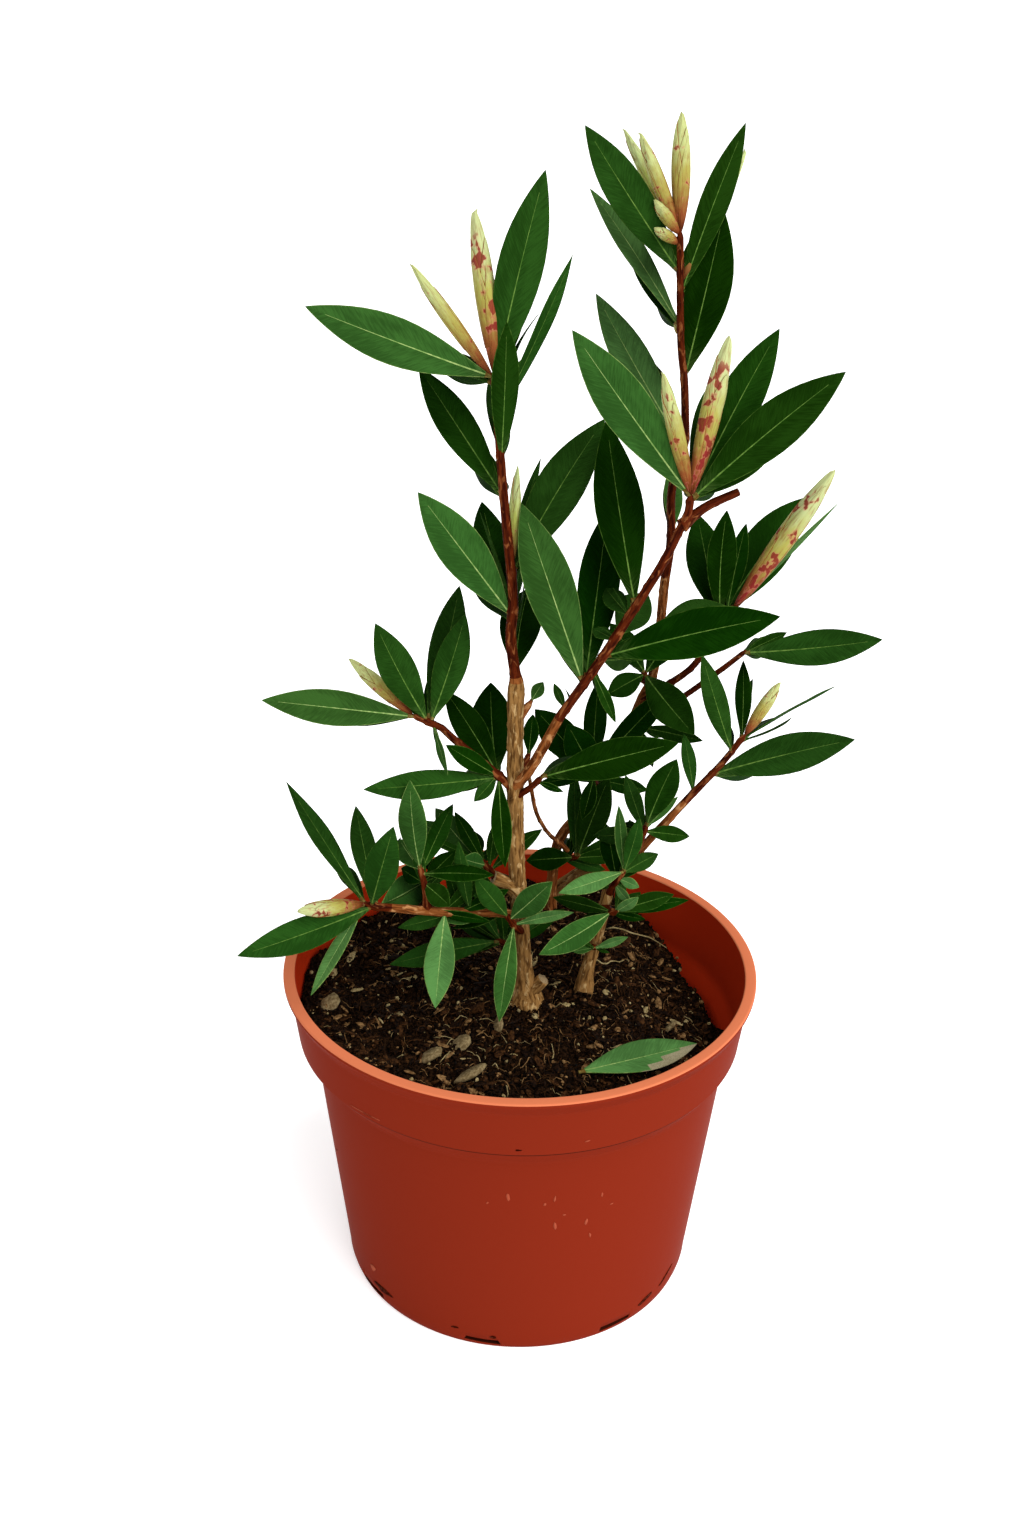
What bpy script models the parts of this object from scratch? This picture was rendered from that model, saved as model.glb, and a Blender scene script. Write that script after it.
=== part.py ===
"""A young bottlebrush in a plastic nursery pot: pot, soil, stems, boughs and leafy shoots.

Metres, +Z up. The origin is the centre of the pot's flat underside, and -Y faces the front view.
Routes and leaf sizes in the tables below are in millimetres, angles in degrees.
"""
import math
import random
from collections import namedtuple

import bmesh
import bpy
from mathutils import Quaternion, Vector
from mathutils.bvhtree import BVHTree

MM = 0.001
GAP = 0.3 * MM                      # clearance between neighbouring pieces

# Pot, from the rim down
RIM_RADIUS = 84 * MM
POT_HEIGHT = 122.9 * MM
LIP_DEPTH = 2.0 * MM
LIP_EASE = 0.6 * MM
COLLAR_TOP = (81.7 * MM, 117.3 * MM)        # radius, height
COLLAR_FOOT = (79.3 * MM, 99.0 * MM)
SHOULDER = (74.6 * MM, 92.5 * MM)
HEEL = (64.2 * MM, 3.8 * MM)
BASE_RADIUS = 62.8 * MM
WALL = 1.8 * MM
FLOOR = 2.6 * MM
POT_STEPS = 40
SWELL = 1.4 * MM                    # bulge of the collar and rim on the left
SWELL_RISE = 8 * MM
DRAINS = 8
DRAIN_WIDTH = 13 * MM
DRAIN_HEIGHT = 4.2 * MM
DRAIN_TURN = math.radians(-11)      # of the slot nearest the front view

# Soil, level round the stems and sunk along the right side
SOIL_LEVEL = 112.0 * MM
SOIL_SINK = 15 * MM
SINK_START = 30 * MM
SINK_END = 74 * MM
SOIL_LUMP = 1.3 * MM
SOIL_SEGMENTS = 32
SOIL_RINGS = (0.30, 0.55, 0.78, 0.93)

# The front view looks down by this angle; leaves are turned as seen from there
VIEW_TILT = math.radians(27.4)
SIDE = Vector((1, 0, 0))
RISE = Vector((0, math.sin(VIEW_TILT), math.cos(VIEW_TILT)))
NEAR = Vector((0, -math.cos(VIEW_TILT), math.sin(VIEW_TILT)))
EYE = Vector((-4.6, -607.7, 513.9)) * MM

# Leaf and bud forms
LEAF_STATIONS = (0.0, 0.2, 0.5, 0.8)        # the tip closes the blade at 1
LEAF_THICKNESS = 0.8 * MM
PETIOLE = 0.8 * MM                  # half width of the leaf's root
SHEATH = 0.2                        # share of a leaf near its root that may meet its neighbours
BUD_SIDES = 7
BUD_PROFILE = ((0.0, 0.26), (0.16, 0.62), (0.42, 1.0), (0.7, 0.74), (0.9, 0.28))
SAMPLES = 3                         # points between two points of a route
SHOOT_RESOLUTION = 0                # round the stem of a leafy shoot, a bough and the trunk
BOUGH_RESOLUTION = 1
TRUNK_RESOLUTION = 2
FLARE_HEIGHT = 14 * MM

# Leaves on the far side of each stem, each set by rule behind one that the front view shows
FILL_SHIFT = (-0.02, 0.02)          # along the stem, from the leaf in front
FILL_SWING = (-5, 5)
FILL_LEAN = (-70, -42)
FILL_COVER = 0.86                   # most of the front leaf's height in view that it takes up
FILL_LENGTH = (0.72, 0.98)          # share of the longest leaf on the same stem
FILL_WIDTH = 0.25                   # share of its own length, unless the leaf in front is narrower
FILL_TURN = (-40, 40)
BOW = (-0.03, 0.05)                 # arch of a blade, as a share of its length
NUDGES = (0, 7, -7, 14, -14, 21, -21, 28, -28, 36, -36)

Limb = namedtuple("Limb", "name on route foot tip flare", defaults=(0.0,))
Mass = namedtuple("Mass", "name on route foot tip fill leaves buds", defaults=((),))

# Bare limbs: what each stands on or springs from, its route, its radii at foot and tip
LIMBS = (
    Limb("trunk", "soil",
         ((1.2, -7, 104), (1.4, -7, 116), (-1, -8, 147), (-2.6, -9, 171), (-3.5, -10, 203),
          (-3.6, -10, 239)), 3.2, 2.7, 3.8),
    Limb("foot_stub", "trunk", ((2, -7, 116), (5, -8, 118.5), (7.6, -8.5, 122)), 2.7, 2.3),
    Limb("left_stub", "trunk", ((-2, -9, 159), (-6, -9.7, 162), (-10.5, -10.5, 164.5)), 2.6, 2.5),
    Limb("fork_stub", "trunk", ((-3.5, -10, 225), (-1, -9.5, 228), (0.8, -9, 230.4)), 1.5, 1.3),
    Limb("front_bough", "trunk", ((-3.5, -10, 201), (1.5, -14.5, 209), (11, -19, 231)), 1.9, 1.6),
    Limb("front_upper_bough", "front_middle_leaves",
         ((35, -25, 275), (42, -26, 289), (48.2, -27, 304.5)), 1.5, 1.3),
    Limb("front_side_twig", "front_upper_bough",
         ((46.4, -26.7, 300), (54, -23, 305), (64, -20, 309)), 1.6, 1.3),
    Limb("left_bough", "left_fan_leaves",
         ((-13.5, -10, 208), (-23.6, -10, 217), (-28, -10, 221.5)), 1.4, 1.2),
    Limb("low_left_bough", "low_left_inner_leaves",
         ((-35, -19.5, 156.5), (-45.5, -21.5, 158.5)), 1.6, 1.4),
    Limb("right_stem", "soil", ((22, 0, 104), (23, 0, 117), (25, 0, 128), (31, 3, 155)), 2.6, 2.1, 1.2),
    Limb("right_bough", "right_stem", ((31, 3, 155), (36, 4, 161), (42.6, 5, 170), (56, 6, 187)), 1.7, 1.35),
    Limb("back_stem", "soil",
         ((10.5, 58, 104), (11, 57, 118), (13, 55, 141), (19, 52, 154), (31.6, 48, 176), (41, 44, 206),
          (45.5, 42, 221), (47.5, 38, 258)), 2.1, 1.6, 1.0),
    Limb("pruned_stub", "soil",
         ((12.5, 65, 104), (14, 64, 115), (19.5, 60.5, 123), (28, 56, 132.5)), 3.0, 2.9),
    Limb("upper_right_bough", "back_stem", ((42, 43.5, 208), (57, 36, 223), (64, 31, 237)), 1.3, 1.1),
    Limb("side_bough", "back_stem", ((39.5, 44.5, 202), (53, 38, 210), (69, 32, 226)), 1.2, 1.0),
    Limb("arch_twig", "back_stem",
         ((13.6, 54.5, 143), (16.5, 44, 145), (11.7, 34, 155), (8, 24, 164.5), (4.2, 14, 177.3),
          (2.2, 4, 191.8), (1.4, -4, 200)), 0.8, 0.7),
)

# Leafy shoots. Each leaf is its place along the shoot, its swing like a clock hand seen from the
# front, its lean towards the viewer, its length, its width and its turn away from facing the viewer.
# A bud is the same without the turn.
MASSES = (
    Mass("leader_leaves", "trunk",
         ((-3.6, -10, 239), (-5.6, -9, 254), (-5, -8, 267), (-7, -6, 287), (-9, -4, 306), (-12, 0, 340)),
         1.9, 1.3, 7,
         ((0.98, -72, 10, 62, 15, 0), (0.97, 13, 6, 66, 14.5, 10), (0.86, 24, 0, 56, 7.5, 55),
          (0.72, 2, 38, 48, 9.2, 20), (0.61, -33, -14, 53.5, 12, 0), (0.74, -8.5, -52, 52, 6, 20),
          (0.22, -39, 20, 51.5, 15, 0), (0.24, -16, -28, 45, 13, 15), (0.24, 10, -20, 20, 6, 60),
          (0.03, 8, -45, 44, 14, 0), (0.36, 30, -2, 59, 15.5, 0), (0.37, 13, -30, 48, 4.5, 30),
          (0.37, 20.5, -24, 49, 7, 40)),
         ((0.97, -37.5, 5, 45, 4.9), (0.99, -6.5, 0, 52.5, 6.8), (0.37, 2, 5, 34.5, 4.2))),
    Mass("fork_leaves", "fork_stub", ((0.8, -9, 230.4), (1.6, -8.8, 231.8)),
         1.1, 0.9, 0,
         ((0.8, 32, 0, 7.4, 4.5, 10),)),
    Mass("fork_back_leaves", "trunk", ((-3.5, -10, 203), (-0.5, -5, 206), (1.5, -2, 209)),
         1.2, 1.0, 1,
         ((0.9, 5, 0, 14, 5.5, 0),)),
    Mass("fork_front_leaves", "trunk", ((-3.5, -10, 196), (2, -14, 202), (5.5, -15.5, 207)),
         1.2, 1.0, 0,
         ((0.95, 75, 20, 49, 13, 0), (0.8, 110, 20, 10, 3, 30))),
    Mass("front_middle_leaves", "front_bough", ((11, -19, 231), (23, -22, 252), (35, -25, 275)),
         1.6, 1.5, 3,
         ((0.28, -20, 6, 61.5, 16, 0), (0.52, 77, 14, 58, 15.5, 0), (0.66, -57, -45, 11, 5, 20),
          (0.30, 7, -10, 59, 14, 10), (0.93, -9, -8, 62, 16, 10), (0.86, -34, -52, 20, 7, 0),
          (0.7, 35, -50, 30, 12, 0), (0.06, -24, -20, 10, 3, 0), (0.4, 155, -10, 18.5, 4, 0))),
    Mass("front_tip_leaves", "front_upper_bough", ((48.2, -27, 304.5), (48.8, -27, 310)),
         1.3, 1.2, 4,
         ((0.9, -37, 5, 62, 15.5, 0), (0.7, 50, 10, 60, 15, 0), (0.9, 27, -8, 61, 14, 10),
          (0.8, 11, -35, 50, 10, 30), (0.6, 43, -16, 58, 12, 60)),
         ((0.95, -15.5, 8, 39, 5.5), (0.98, 12.5, 0, 51, 7))),
    Mass("left_fan_leaves", "trunk", ((-3.5, -10, 199), (-7, -10, 202), (-13.5, -10, 208)),
         1.5, 1.4, 2,
         ((0.55, -33, -10, 35, 10.5, 0), (0.6, -5, -20, 34, 14.5, 0), (0.5, -60, 40, 27, 6.5, 0),
          (0.5, -96, 20, 48, 10, 0), (0.55, 175, 8, 31, 7, 0), (0.6, -140, 5, 12, 5, 0))),
    Mass("left_tip_leaves", "left_bough", ((-28, -10, 221.5), (-33, -10, 224), (-38, -10, 226)),
         1.2, 1.1, 4,
         ((0.9, -85, 10, 51, 12, 0), (0.5, -28, 32, 41, 12, 0), (0.4, 17, 0, 38, 11, 0),
          (0.5, 11, -28, 55, 12, 10), (0.3, 163, 10, 18, 5, 60)),
         ((0.97, -49.5, 0, 29, 5.4),)),
    Mass("left_stub_leaves", "left_stub", ((-9, -10, 163.8), (-13, -6, 166.5), (-17, -3.5, 169)),
         1.3, 1.0, 2,
         ((0.9, -42, -28, 26, 8.5, 0), (0.8, -60, -38, 33, 8, 10), (0.7, -66, 8, 23, 4.5, 50),
          (0.6, -72, 50, 13, 7, 0), (0.8, -17, -35, 13, 6, 0), (0.5, -91, -25, 25, 9, 0))),
    Mass("low_front_leaves", "trunk", ((-0.5, -8, 142), (-2, -13.5, 146), (-6, -17, 154)),
         1.4, 1.1, 0,
         ((0.8, 45, 42, 27, 9.5, 0), (0.6, 77, 10, 21.5, 4.2, 10), (0.9, -39, 30, 21, 8, 0),
          (0.6, -172, 26, 36, 7.5, 0))),
    Mass("trunk_foot_leaves", "trunk", ((0, -8, 131), (-5, -6, 134), (-9, -5, 136)),
         1.2, 0.9, 0,
         ((0.9, -103, 0, 40, 9, 0), (0.8, -60, -50, 30, 9, 0))),
    Mass("low_left_inner_leaves", "trunk",
         ((-1, -8, 147), (-8, -12, 151.5), (-27, -18, 155), (-35, -19.5, 156.5)),
         1.7, 1.6, 3,
         ((0.78, -176, 30, 36, 10.5, 0), (0.35, -99, 12, 17.5, 5.5, 0), (0.6, -66, -40, 18, 7, 0))),
    Mass("low_left_side_leaves", "low_left_inner_leaves",
         ((-33, -19, 156.3), (-34, -17, 165), (-35.7, -16, 172)),
         1.2, 1.0, 2,
         ((0.95, -5, 33, 36, 9.5, 0), (0.9, -40, -50, 20, 8, 0), (0.6, 130, 10, 12, 8, 10))),
    Mass("low_left_tip_leaves", "low_left_bough",
         ((-45.5, -21.5, 158.5), (-50.5, -22, 159.2), (-54.5, -22.5, 160.6)),
         1.4, 1.2, 4,
         ((0.6, -110, 22, 50.5, 11.5, 0), (0.95, -35, -14, 52, 9, 45), (0.7, 18, 48, 44, 11.5, 0),
          (0.5, -15, -28, 40, 9, 20), (0.4, 62, -55, 30, 12, 0), (0.97, -151, 12, 36, 5.5, 20)),
         ((0.97, -95, 42, 28.5, 6),)),
    Mass("right_foot_leaves", "right_stem", ((29, 2, 146), (31, -3, 147), (33, -6, 149)),
         1.5, 1.1, 1,
         ((0.6, -119, 28, 33, 9.3, 0), (0.8, 55, 30, 11.5, 5, 30), (0.7, 81.5, -16, 29, 5.4, 20))),
    Mass("right_low_leaves", "right_stem", ((25.4, 0.5, 131), (25.6, -3, 132), (25.8, -5, 132.5)),
         0.9, 0.7, 0,
         ((0.8, 69, 15, 13, 3.4, 0), (0.7, -100, 10, 8, 3, 0))),
    Mass("right_bend_leaves", "right_stem", ((30.5, 2.6, 151.5), (32, -2, 158), (35, -5, 165)),
         1.3, 1.0, 2,
         ((0.95, -107, 30, 27.5, 6.8, 10), (0.9, 62, -15, 15, 6, 0), (0.7, 112, 10, 8, 4, 0),
          (0.5, 140, 15, 9, 4, 30), (0.6, -9, -38, 25, 8, 0), (0.97, -6, 15, 24, 5, 20),
          (0.97, 14, -12, 20, 6, 0))),
    Mass("right_inner_leaves", "right_bough", ((39, 4.5, 165), (40, 1, 171), (42.5, 0, 181)),
         1.2, 1.0, 2,
         ((0.95, 20, 42, 33, 10.5, 0), (0.9, 44, 25, 17, 4, 30), (0.8, -18, -20, 22, 6, 0))),
    Mass("right_leaves", "right_bough", ((56, 6, 187), (67, 6, 201), (75, 6, 213)),
         1.35, 1.0, 4,
         ((0.42, 75, 25, 52, 13.5, 0), (0.9, 60, -18, 42, 7.5, 82), (0.75, -22, 35, 42, 8.5, 10),
          (0.93, 6, -40, 37.5, 6, 0), (0.12, -10, 0, 21, 5.5, 20)),
         ((0.98, 34, 0, 22.5, 4.8),)),
    Mass("back_foot_leaves", "back_stem", ((12.6, 55.5, 136), (17, 50, 138), (21, 47, 141)),
         1.3, 1.0, 2,
         ((0.95, 19, 20, 34.5, 11.5, 0), (0.8, -95, 0, 18, 9, 0), (0.9, -3, 15, 34, 6, 0))),
    Mass("back_low_leaves", "back_stem", ((28, 49.5, 169), (26, 44, 175), (24.5, 40, 181)),
         1.3, 1.0, 3,
         ((0.95, 42, 15, 43, 9, 0), (0.9, 3, 0, 34, 8.5, 0), (0.8, -29, 10, 21, 12, 0),
          (0.9, -43, -12, 32, 13, 0), (0.7, -165, 15, 17, 6, 0))),
    Mass("back_side_leaves", "back_stem", ((37.5, 45.5, 195), (40, 40, 198), (42, 38, 200)),
         1.1, 0.9, 1,
         ((0.9, 102, 8, 23, 6, 20), (0.8, 160, 20, 16, 5, 20))),
    Mass("back_high_leaves", "back_stem", ((43.6, 43, 215), (41, 37, 219), (42, 34, 223)),
         1.2, 1.0, 3,
         ((0.9, -120, 10, 15.5, 8.5, 0), (0.9, 142, 25, 30, 13, 0), (0.95, -35, -10, 22, 9, 0),
          (0.9, 30, -20, 26, 10, 0))),
    Mass("side_leaves", "side_bough", ((69, 32, 226), (76, 30, 233.5)),
         1.0, 0.9, 3,
         ((0.9, 84.5, 15, 48, 12.5, 0), (0.9, 64, -25, 20, 5, 20))),
    Mass("upper_right_leaves", "upper_right_bough", ((64, 31, 237), (66, 29, 246), (71, 28, 250.4)),
         1.1, 1.1, 4,
         ((0.93, 44, 5, 51, 7, 72), (0.6, 35, -16, 56, 17, 0), (0.8, 13, -30, 38, 7, 0),
          (0.55, -10.5, -15, 40, 14, 0), (0.6, 2, 10, 37, 11, 15), (0.97, -99, 0, 24, 10, 10)),
         ((0.97, 35, 10, 58.5, 7.6),)),
    Mass("back_middle_leaves", "back_stem",
         ((47.5, 38, 258), (48.6, 37, 271.4), (48, 36, 290), (51.6, 35, 308)),
         1.6, 1.4, 5,
         ((0.93, -28.5, -10, 62.5, 13, 10), (0.3, 3, -28, 31, 8, 30))),
    Mass("tall_leaves", "back_middle_leaves",
         ((51.6, 35, 308), (50, 34, 328), (48, 34, 343), (46, 32, 377)),
         1.4, 1.1, 6,
         ((0.80, -35.5, 10, 55, 13.5, 0), (0.54, -32.5, -6, 56, 8.5, 20), (0.7, 20, 3, 58.5, 10, 15),
          (0.3, 12, 14, 54.5, 16, 0)),
         ((0.99, -0.5, 0, 39, 6.4), (0.98, -24.5, 5, 35, 5), (0.97, -24.5, -22, 48, 4.6),
          (0.76, 24, -18, 57, 6), (0.98, -40, 8, 14, 4.5), (0.94, -62, 12, 10, 4), (0.5, -20, 8, 5.5, 2.6))),
)

# A dropped leaf that lies on the soil at the front right: root, tip and width
FALLEN_LEAF = ((22, -52), (59, -36), 13)
FALLEN_LIFT = 4 * MM                # before it is let down on the soil
FALLEN_TILT = 14
FALL_STEPS = 8

LEAF_GREEN = (45, 80, 30)
BARK_TAN = (128, 93, 50)
BARK_RED = (88, 42, 20)
POT_CLAY = (142, 42, 23)
SOIL_BROWN = (40, 28, 20)
FINISHES = {"pot": (POT_CLAY, 0.42), "soil": (SOIL_BROWN, 0.95), "bark": (BARK_TAN, 0.85),
            "red_bark": (BARK_RED, 0.75), "leaf": (LEAF_GREEN, 0.5)}
TAN_LIMBS = ("trunk", "right_stem", "pruned_stub", "left_stub", "foot_stub")


def linear(channel):
    """Turn one colour channel of 0 to 255 into scene-linear light."""
    return (channel / 255) ** 2.2


def finish(name):
    """Give the named finish, made once."""
    material = bpy.data.materials.get(name)
    if material is None:
        colour, roughness = FINISHES[name]
        material = bpy.data.materials.new(name)
        material.use_nodes = True
        shader = material.node_tree.nodes["Principled BSDF"]
        shader.inputs["Base Color"].default_value = (*[linear(c) for c in colour], 1)
        shader.inputs["Roughness"].default_value = roughness
        shader.inputs["Metallic"].default_value = 0
    return material


def clear_scene():
    for thing in list(bpy.data.objects):
        bpy.data.objects.remove(thing)


def new_collection(name):
    collection = bpy.data.collections.new(name)
    bpy.context.scene.collection.children.link(collection)
    return collection


def add_object(name, mesh, collection, finish_name=None):
    piece = bpy.data.objects.new(name, mesh)
    collection.objects.link(piece)
    if finish_name:
        mesh.materials.clear()
        mesh.materials.append(finish(finish_name))
    return piece


def mesh_of(name, form):
    """A mesh from a form, which is a list of points and a list of faces."""
    mesh = bpy.data.meshes.new(name)
    mesh.from_pydata([tuple(p) for p in form[0]], [], form[1])
    return mesh


def loft(rings, first=None, last=None):
    """Join equal rings of points; each end closes on a point, or on its own ring."""
    size = len(rings[0])
    points = [p for ring in rings for p in ring]
    faces = []
    for k in range(len(rings) - 1):
        for i in range(size):
            j = (i + 1) % size
            faces.append((k * size + i, k * size + j, (k + 1) * size + j, (k + 1) * size + i))
    top = (len(rings) - 1) * size
    if first is None:
        faces.append(tuple(reversed(range(size))))
    else:
        points.append(first)
        faces.extend(((i + 1) % size, i, len(points) - 1) for i in range(size))
    if last is None:
        faces.append(tuple(range(top, top + size)))
    else:
        points.append(last)
        faces.extend((top + i, top + (i + 1) % size, len(points) - 1) for i in range(size))
    return points, faces


def smooth_route(route):
    """Points in metres along a smooth curve through a route given in millimetres."""
    knots = [Vector(p) * MM for p in route]
    knots = [2 * knots[0] - knots[1]] + knots + [2 * knots[-1] - knots[-2]]
    points = []
    for a, b, c, d in zip(knots, knots[1:], knots[2:], knots[3:]):
        for step in range(SAMPLES):
            t = step / SAMPLES
            points.append(0.5 * (2 * b + (c - a) * t + (2 * a - 5 * b + 4 * c - d) * t * t
                                 + (3 * b - a - 3 * c + d) * t ** 3))
    return points + [knots[-2]]


def along(points, share):
    """The point and the direction at a share of a route's length."""
    spans = [(b - a).length for a, b in zip(points, points[1:])]
    left = share * sum(spans)
    for span, a, b in zip(spans, points, points[1:]):
        if left <= span or b is points[-1]:
            return a.lerp(b, left / span), (b - a).normalized()
        left -= span


def radii(stem, count):
    """Radius at each point: an even taper, with the flare over the foot."""
    flare = getattr(stem, "flare", 0.0)
    run = [k / (count - 1) for k in range(count)]
    points = smooth_route(stem.route)
    rises = [p.z - SOIL_LEVEL for p in points]
    sizes = []
    for share, rise in zip(run, rises):
        spread = max(0.0, 1 - max(0.0, rise) / FLARE_HEIGHT) ** 2
        sizes.append((stem.foot + (stem.tip - stem.foot) * share + flare * spread) * MM)
    return sizes


def tube(name, stem, collection, grow=0.0):
    """A limb as a swept tube, its caps welded; a grown one is larger all over."""
    points = smooth_route(stem.route)
    sizes = radii(stem, len(points))
    points[0] = points[0] + (points[0] - points[1]).normalized() * grow
    points[-1] = points[-1] + (points[-1] - points[-2]).normalized() * grow
    curve = bpy.data.curves.new(name, "CURVE")
    curve.dimensions = "3D"
    curve.bevel_depth = MM
    curve.bevel_resolution = BOUGH_RESOLUTION if isinstance(stem, Limb) else SHOOT_RESOLUTION
    if stem.name == "trunk":
        curve.bevel_resolution = TRUNK_RESOLUTION
    curve.use_fill_caps = True
    spline = curve.splines.new("POLY")
    spline.points.add(len(points) - 1)
    for knot, place, size in zip(spline.points, points, sizes):
        knot.co = (*place, 1)
        knot.radius = (size + grow) / MM
    rail = bpy.data.objects.new(name, curve)
    collection.objects.link(rail)
    mesh = welded(evaluated_mesh(rail))
    bpy.data.objects.remove(rail)
    return add_object(name, mesh, collection)


def evaluated_mesh(piece):
    graph = bpy.context.evaluated_depsgraph_get()
    return bpy.data.meshes.new_from_object(piece.evaluated_get(graph))


def welded(mesh):
    form = bmesh.new()
    form.from_mesh(mesh)
    bmesh.ops.remove_doubles(form, verts=form.verts, dist=0.01 * MM)
    bmesh.ops.recalc_face_normals(form, faces=form.faces)
    form.to_mesh(mesh)
    form.free()
    return mesh


def level_cut(mesh, height):
    """Cut a limb off flat at a height and keep what is above."""
    form = bmesh.new()
    form.from_mesh(mesh)
    everything = form.verts[:] + form.edges[:] + form.faces[:]
    cut = bmesh.ops.bisect_plane(form, geom=everything, plane_co=(0, 0, height), plane_no=(0, 0, 1),
                                 clear_inner=True)
    edges = [e for e in cut["geom_cut"] if isinstance(e, bmesh.types.BMEdge)]
    bmesh.ops.holes_fill(form, edges=edges)
    bmesh.ops.recalc_face_normals(form, faces=form.faces)
    form.to_mesh(mesh)
    form.free()


def heading(swing, lean, near=NEAR):
    """Direction of a leaf from its clock angle seen from the front and its lean to the viewer."""
    swing, lean = math.radians(swing), math.radians(lean)
    flat = SIDE * math.sin(swing) + RISE * math.cos(swing)
    return (flat * math.cos(lean) + near * math.sin(lean)).normalized()


def blade_axes(direction, turn):
    """The blade's face and width directions: it faces the viewer, turned about its own line."""
    toward = NEAR if abs(direction.dot(NEAR)) < 0.94 else RISE
    face = (toward - direction * toward.dot(direction)).normalized()
    face.rotate(Quaternion(direction, math.radians(turn)))
    return face, direction.cross(face)


def blade_width(share):
    """Half width of a blade along its length, as a share of the greatest."""
    return math.sin(math.pi * share ** 1.15) ** 0.9 if 0 < share < 1 else 0.0


def blade(root, direction, length, width, turn, bow, grow=0.0, start=0.0):
    """A leaf as a thin blade with a keel underneath, from its root in the stem to its point."""
    face, across = blade_axes(direction, turn)
    rings = []
    for share in [s for s in LEAF_STATIONS if s >= start]:
        centre = root + direction * (length * share) + face * (bow * length * 4 * share * (1 - share))
        half = max(PETIOLE, width / 2 * blade_width(share)) + grow
        top = face * (LEAF_THICKNESS / 3 + grow)
        keel = face * (LEAF_THICKNESS * 2 / 3 + grow * 2)
        rings.append((centre - across * half + top, centre - keel, centre + across * half + top))
    return loft(rings, last=root + direction * (length + grow))


def bud_form(root, direction, length, width, grow=0.0):
    """A closed spindle of a few sides."""
    face, across = blade_axes(direction, 0)
    rings = []
    for share, size in BUD_PROFILE:
        centre = root + direction * (length * share)
        reach = width / 2 * size + grow
        turns = [2 * math.pi * k / BUD_SIDES for k in range(BUD_SIDES)]
        rings.append([centre + (across * math.cos(t) + face * math.sin(t)) * reach for t in turns])
    return loft(rings, last=root + direction * (length + grow))


class Crown:
    """Everything placed so far, so that a new leaf can be kept clear of it."""

    def __init__(self):
        self.trees = []

    def add(self, owner, form, sheathed):
        points, faces = form
        centre = sum(points, Vector()) / len(points)
        reach = max((p - centre).length for p in points)
        self.trees.append((owner, sheathed, BVHTree.FromPolygons(points, faces), centre, reach))

    def meets(self, owner, whole, tip_part):
        """Whether a leaf touches another node, or its blade another blade of its own node."""
        centre = sum(whole[0], Vector()) / len(whole[0])
        reach = max((p - centre).length for p in whole[0])
        whole_tree = BVHTree.FromPolygons(*whole)
        tip_tree = BVHTree.FromPolygons(*tip_part)
        for other, sheathed, tree, middle, size in self.trees:
            if (middle - centre).length > reach + size:
                continue
            if other != owner and not sheathed and whole_tree.overlap(tree):
                return True
            if other == owner and sheathed and tip_tree.overlap(tree):
                return True
        return False


def settle(crown, mass, root, row, bow, near=NEAR):
    """Place one leaf, nudging its lean until it is clear; None when no place is."""
    swing, lean, length, width, turn = row
    for nudge in NUDGES:
        tilt = max(-80, min(70, lean + nudge))
        stretch = min(1.12, math.cos(math.radians(lean)) / math.cos(math.radians(tilt)))
        direction = heading(swing, tilt, near)
        shape = (root, direction, length * stretch * MM, width * MM, turn, bow)
        whole = blade(*shape, grow=GAP)
        tip_part = blade(*shape, grow=GAP / 2, start=SHEATH)
        if not crown.meets(mass.name, whole, tip_part):
            crown.add(mass.name, blade(*shape), False)
            crown.add(mass.name, blade(*shape, start=SHEATH), True)
            return blade(*shape)
    return None


def shown_leaves(crown, mass, seed):
    """The leaves that the front view shows, row by row."""
    spine = smooth_route(mass.route)
    forms = []
    for at, swing, lean, length, width, turn in mass.leaves:
        root = along(spine, at)[0]
        row = (swing, lean, length, width, turn)
        forms.append(settle(crown, mass, root, row, seed.uniform(*BOW)))
    return [form for form in forms if form]


def height_in_view(row):
    """Length of a leaf as the front view shows it."""
    return row[3] * math.cos(math.radians(row[2]))


def face_in_view(row):
    return height_in_view(row) * row[4] * math.cos(math.radians(row[5]))


def filling_leaves(crown, mass, seed):
    """More leaves on the same stem, each leaning away behind one of the broadest shown ones."""
    spine = smooth_route(mass.route)
    longest = max(row[3] for row in mass.leaves)
    hosts = sorted(mass.leaves, key=face_in_view, reverse=True)
    forms = []
    for k in range(mass.fill):
        front = hosts[k % len(hosts)]
        at = max(0.12, min(0.97, front[0] + seed.uniform(*FILL_SHIFT)))
        swing = front[1] + seed.uniform(*FILL_SWING)
        lean = seed.uniform(*FILL_LEAN)
        cover = FILL_COVER * height_in_view(front) / math.cos(math.radians(lean))
        length = min(cover, longest * seed.uniform(*FILL_LENGTH))
        width = min(length * FILL_WIDTH, front[4])
        row = (swing, lean, length, width, seed.uniform(*FILL_TURN))
        root = along(spine, at)[0]
        forms.append(settle(crown, mass, root, row, seed.uniform(*BOW), (EYE - root).normalized()))
    return [form for form in forms if form]


def mass_buds(crown, mass):
    spine = smooth_route(mass.route)
    forms = []
    for at, swing, lean, length, width in mass.buds:
        shape = (along(spine, at)[0], heading(swing, lean), length * MM, width * MM)
        crown.add(mass.name, bud_form(*shape, grow=GAP), False)
        forms.append(bud_form(*shape))
    return forms


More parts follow.
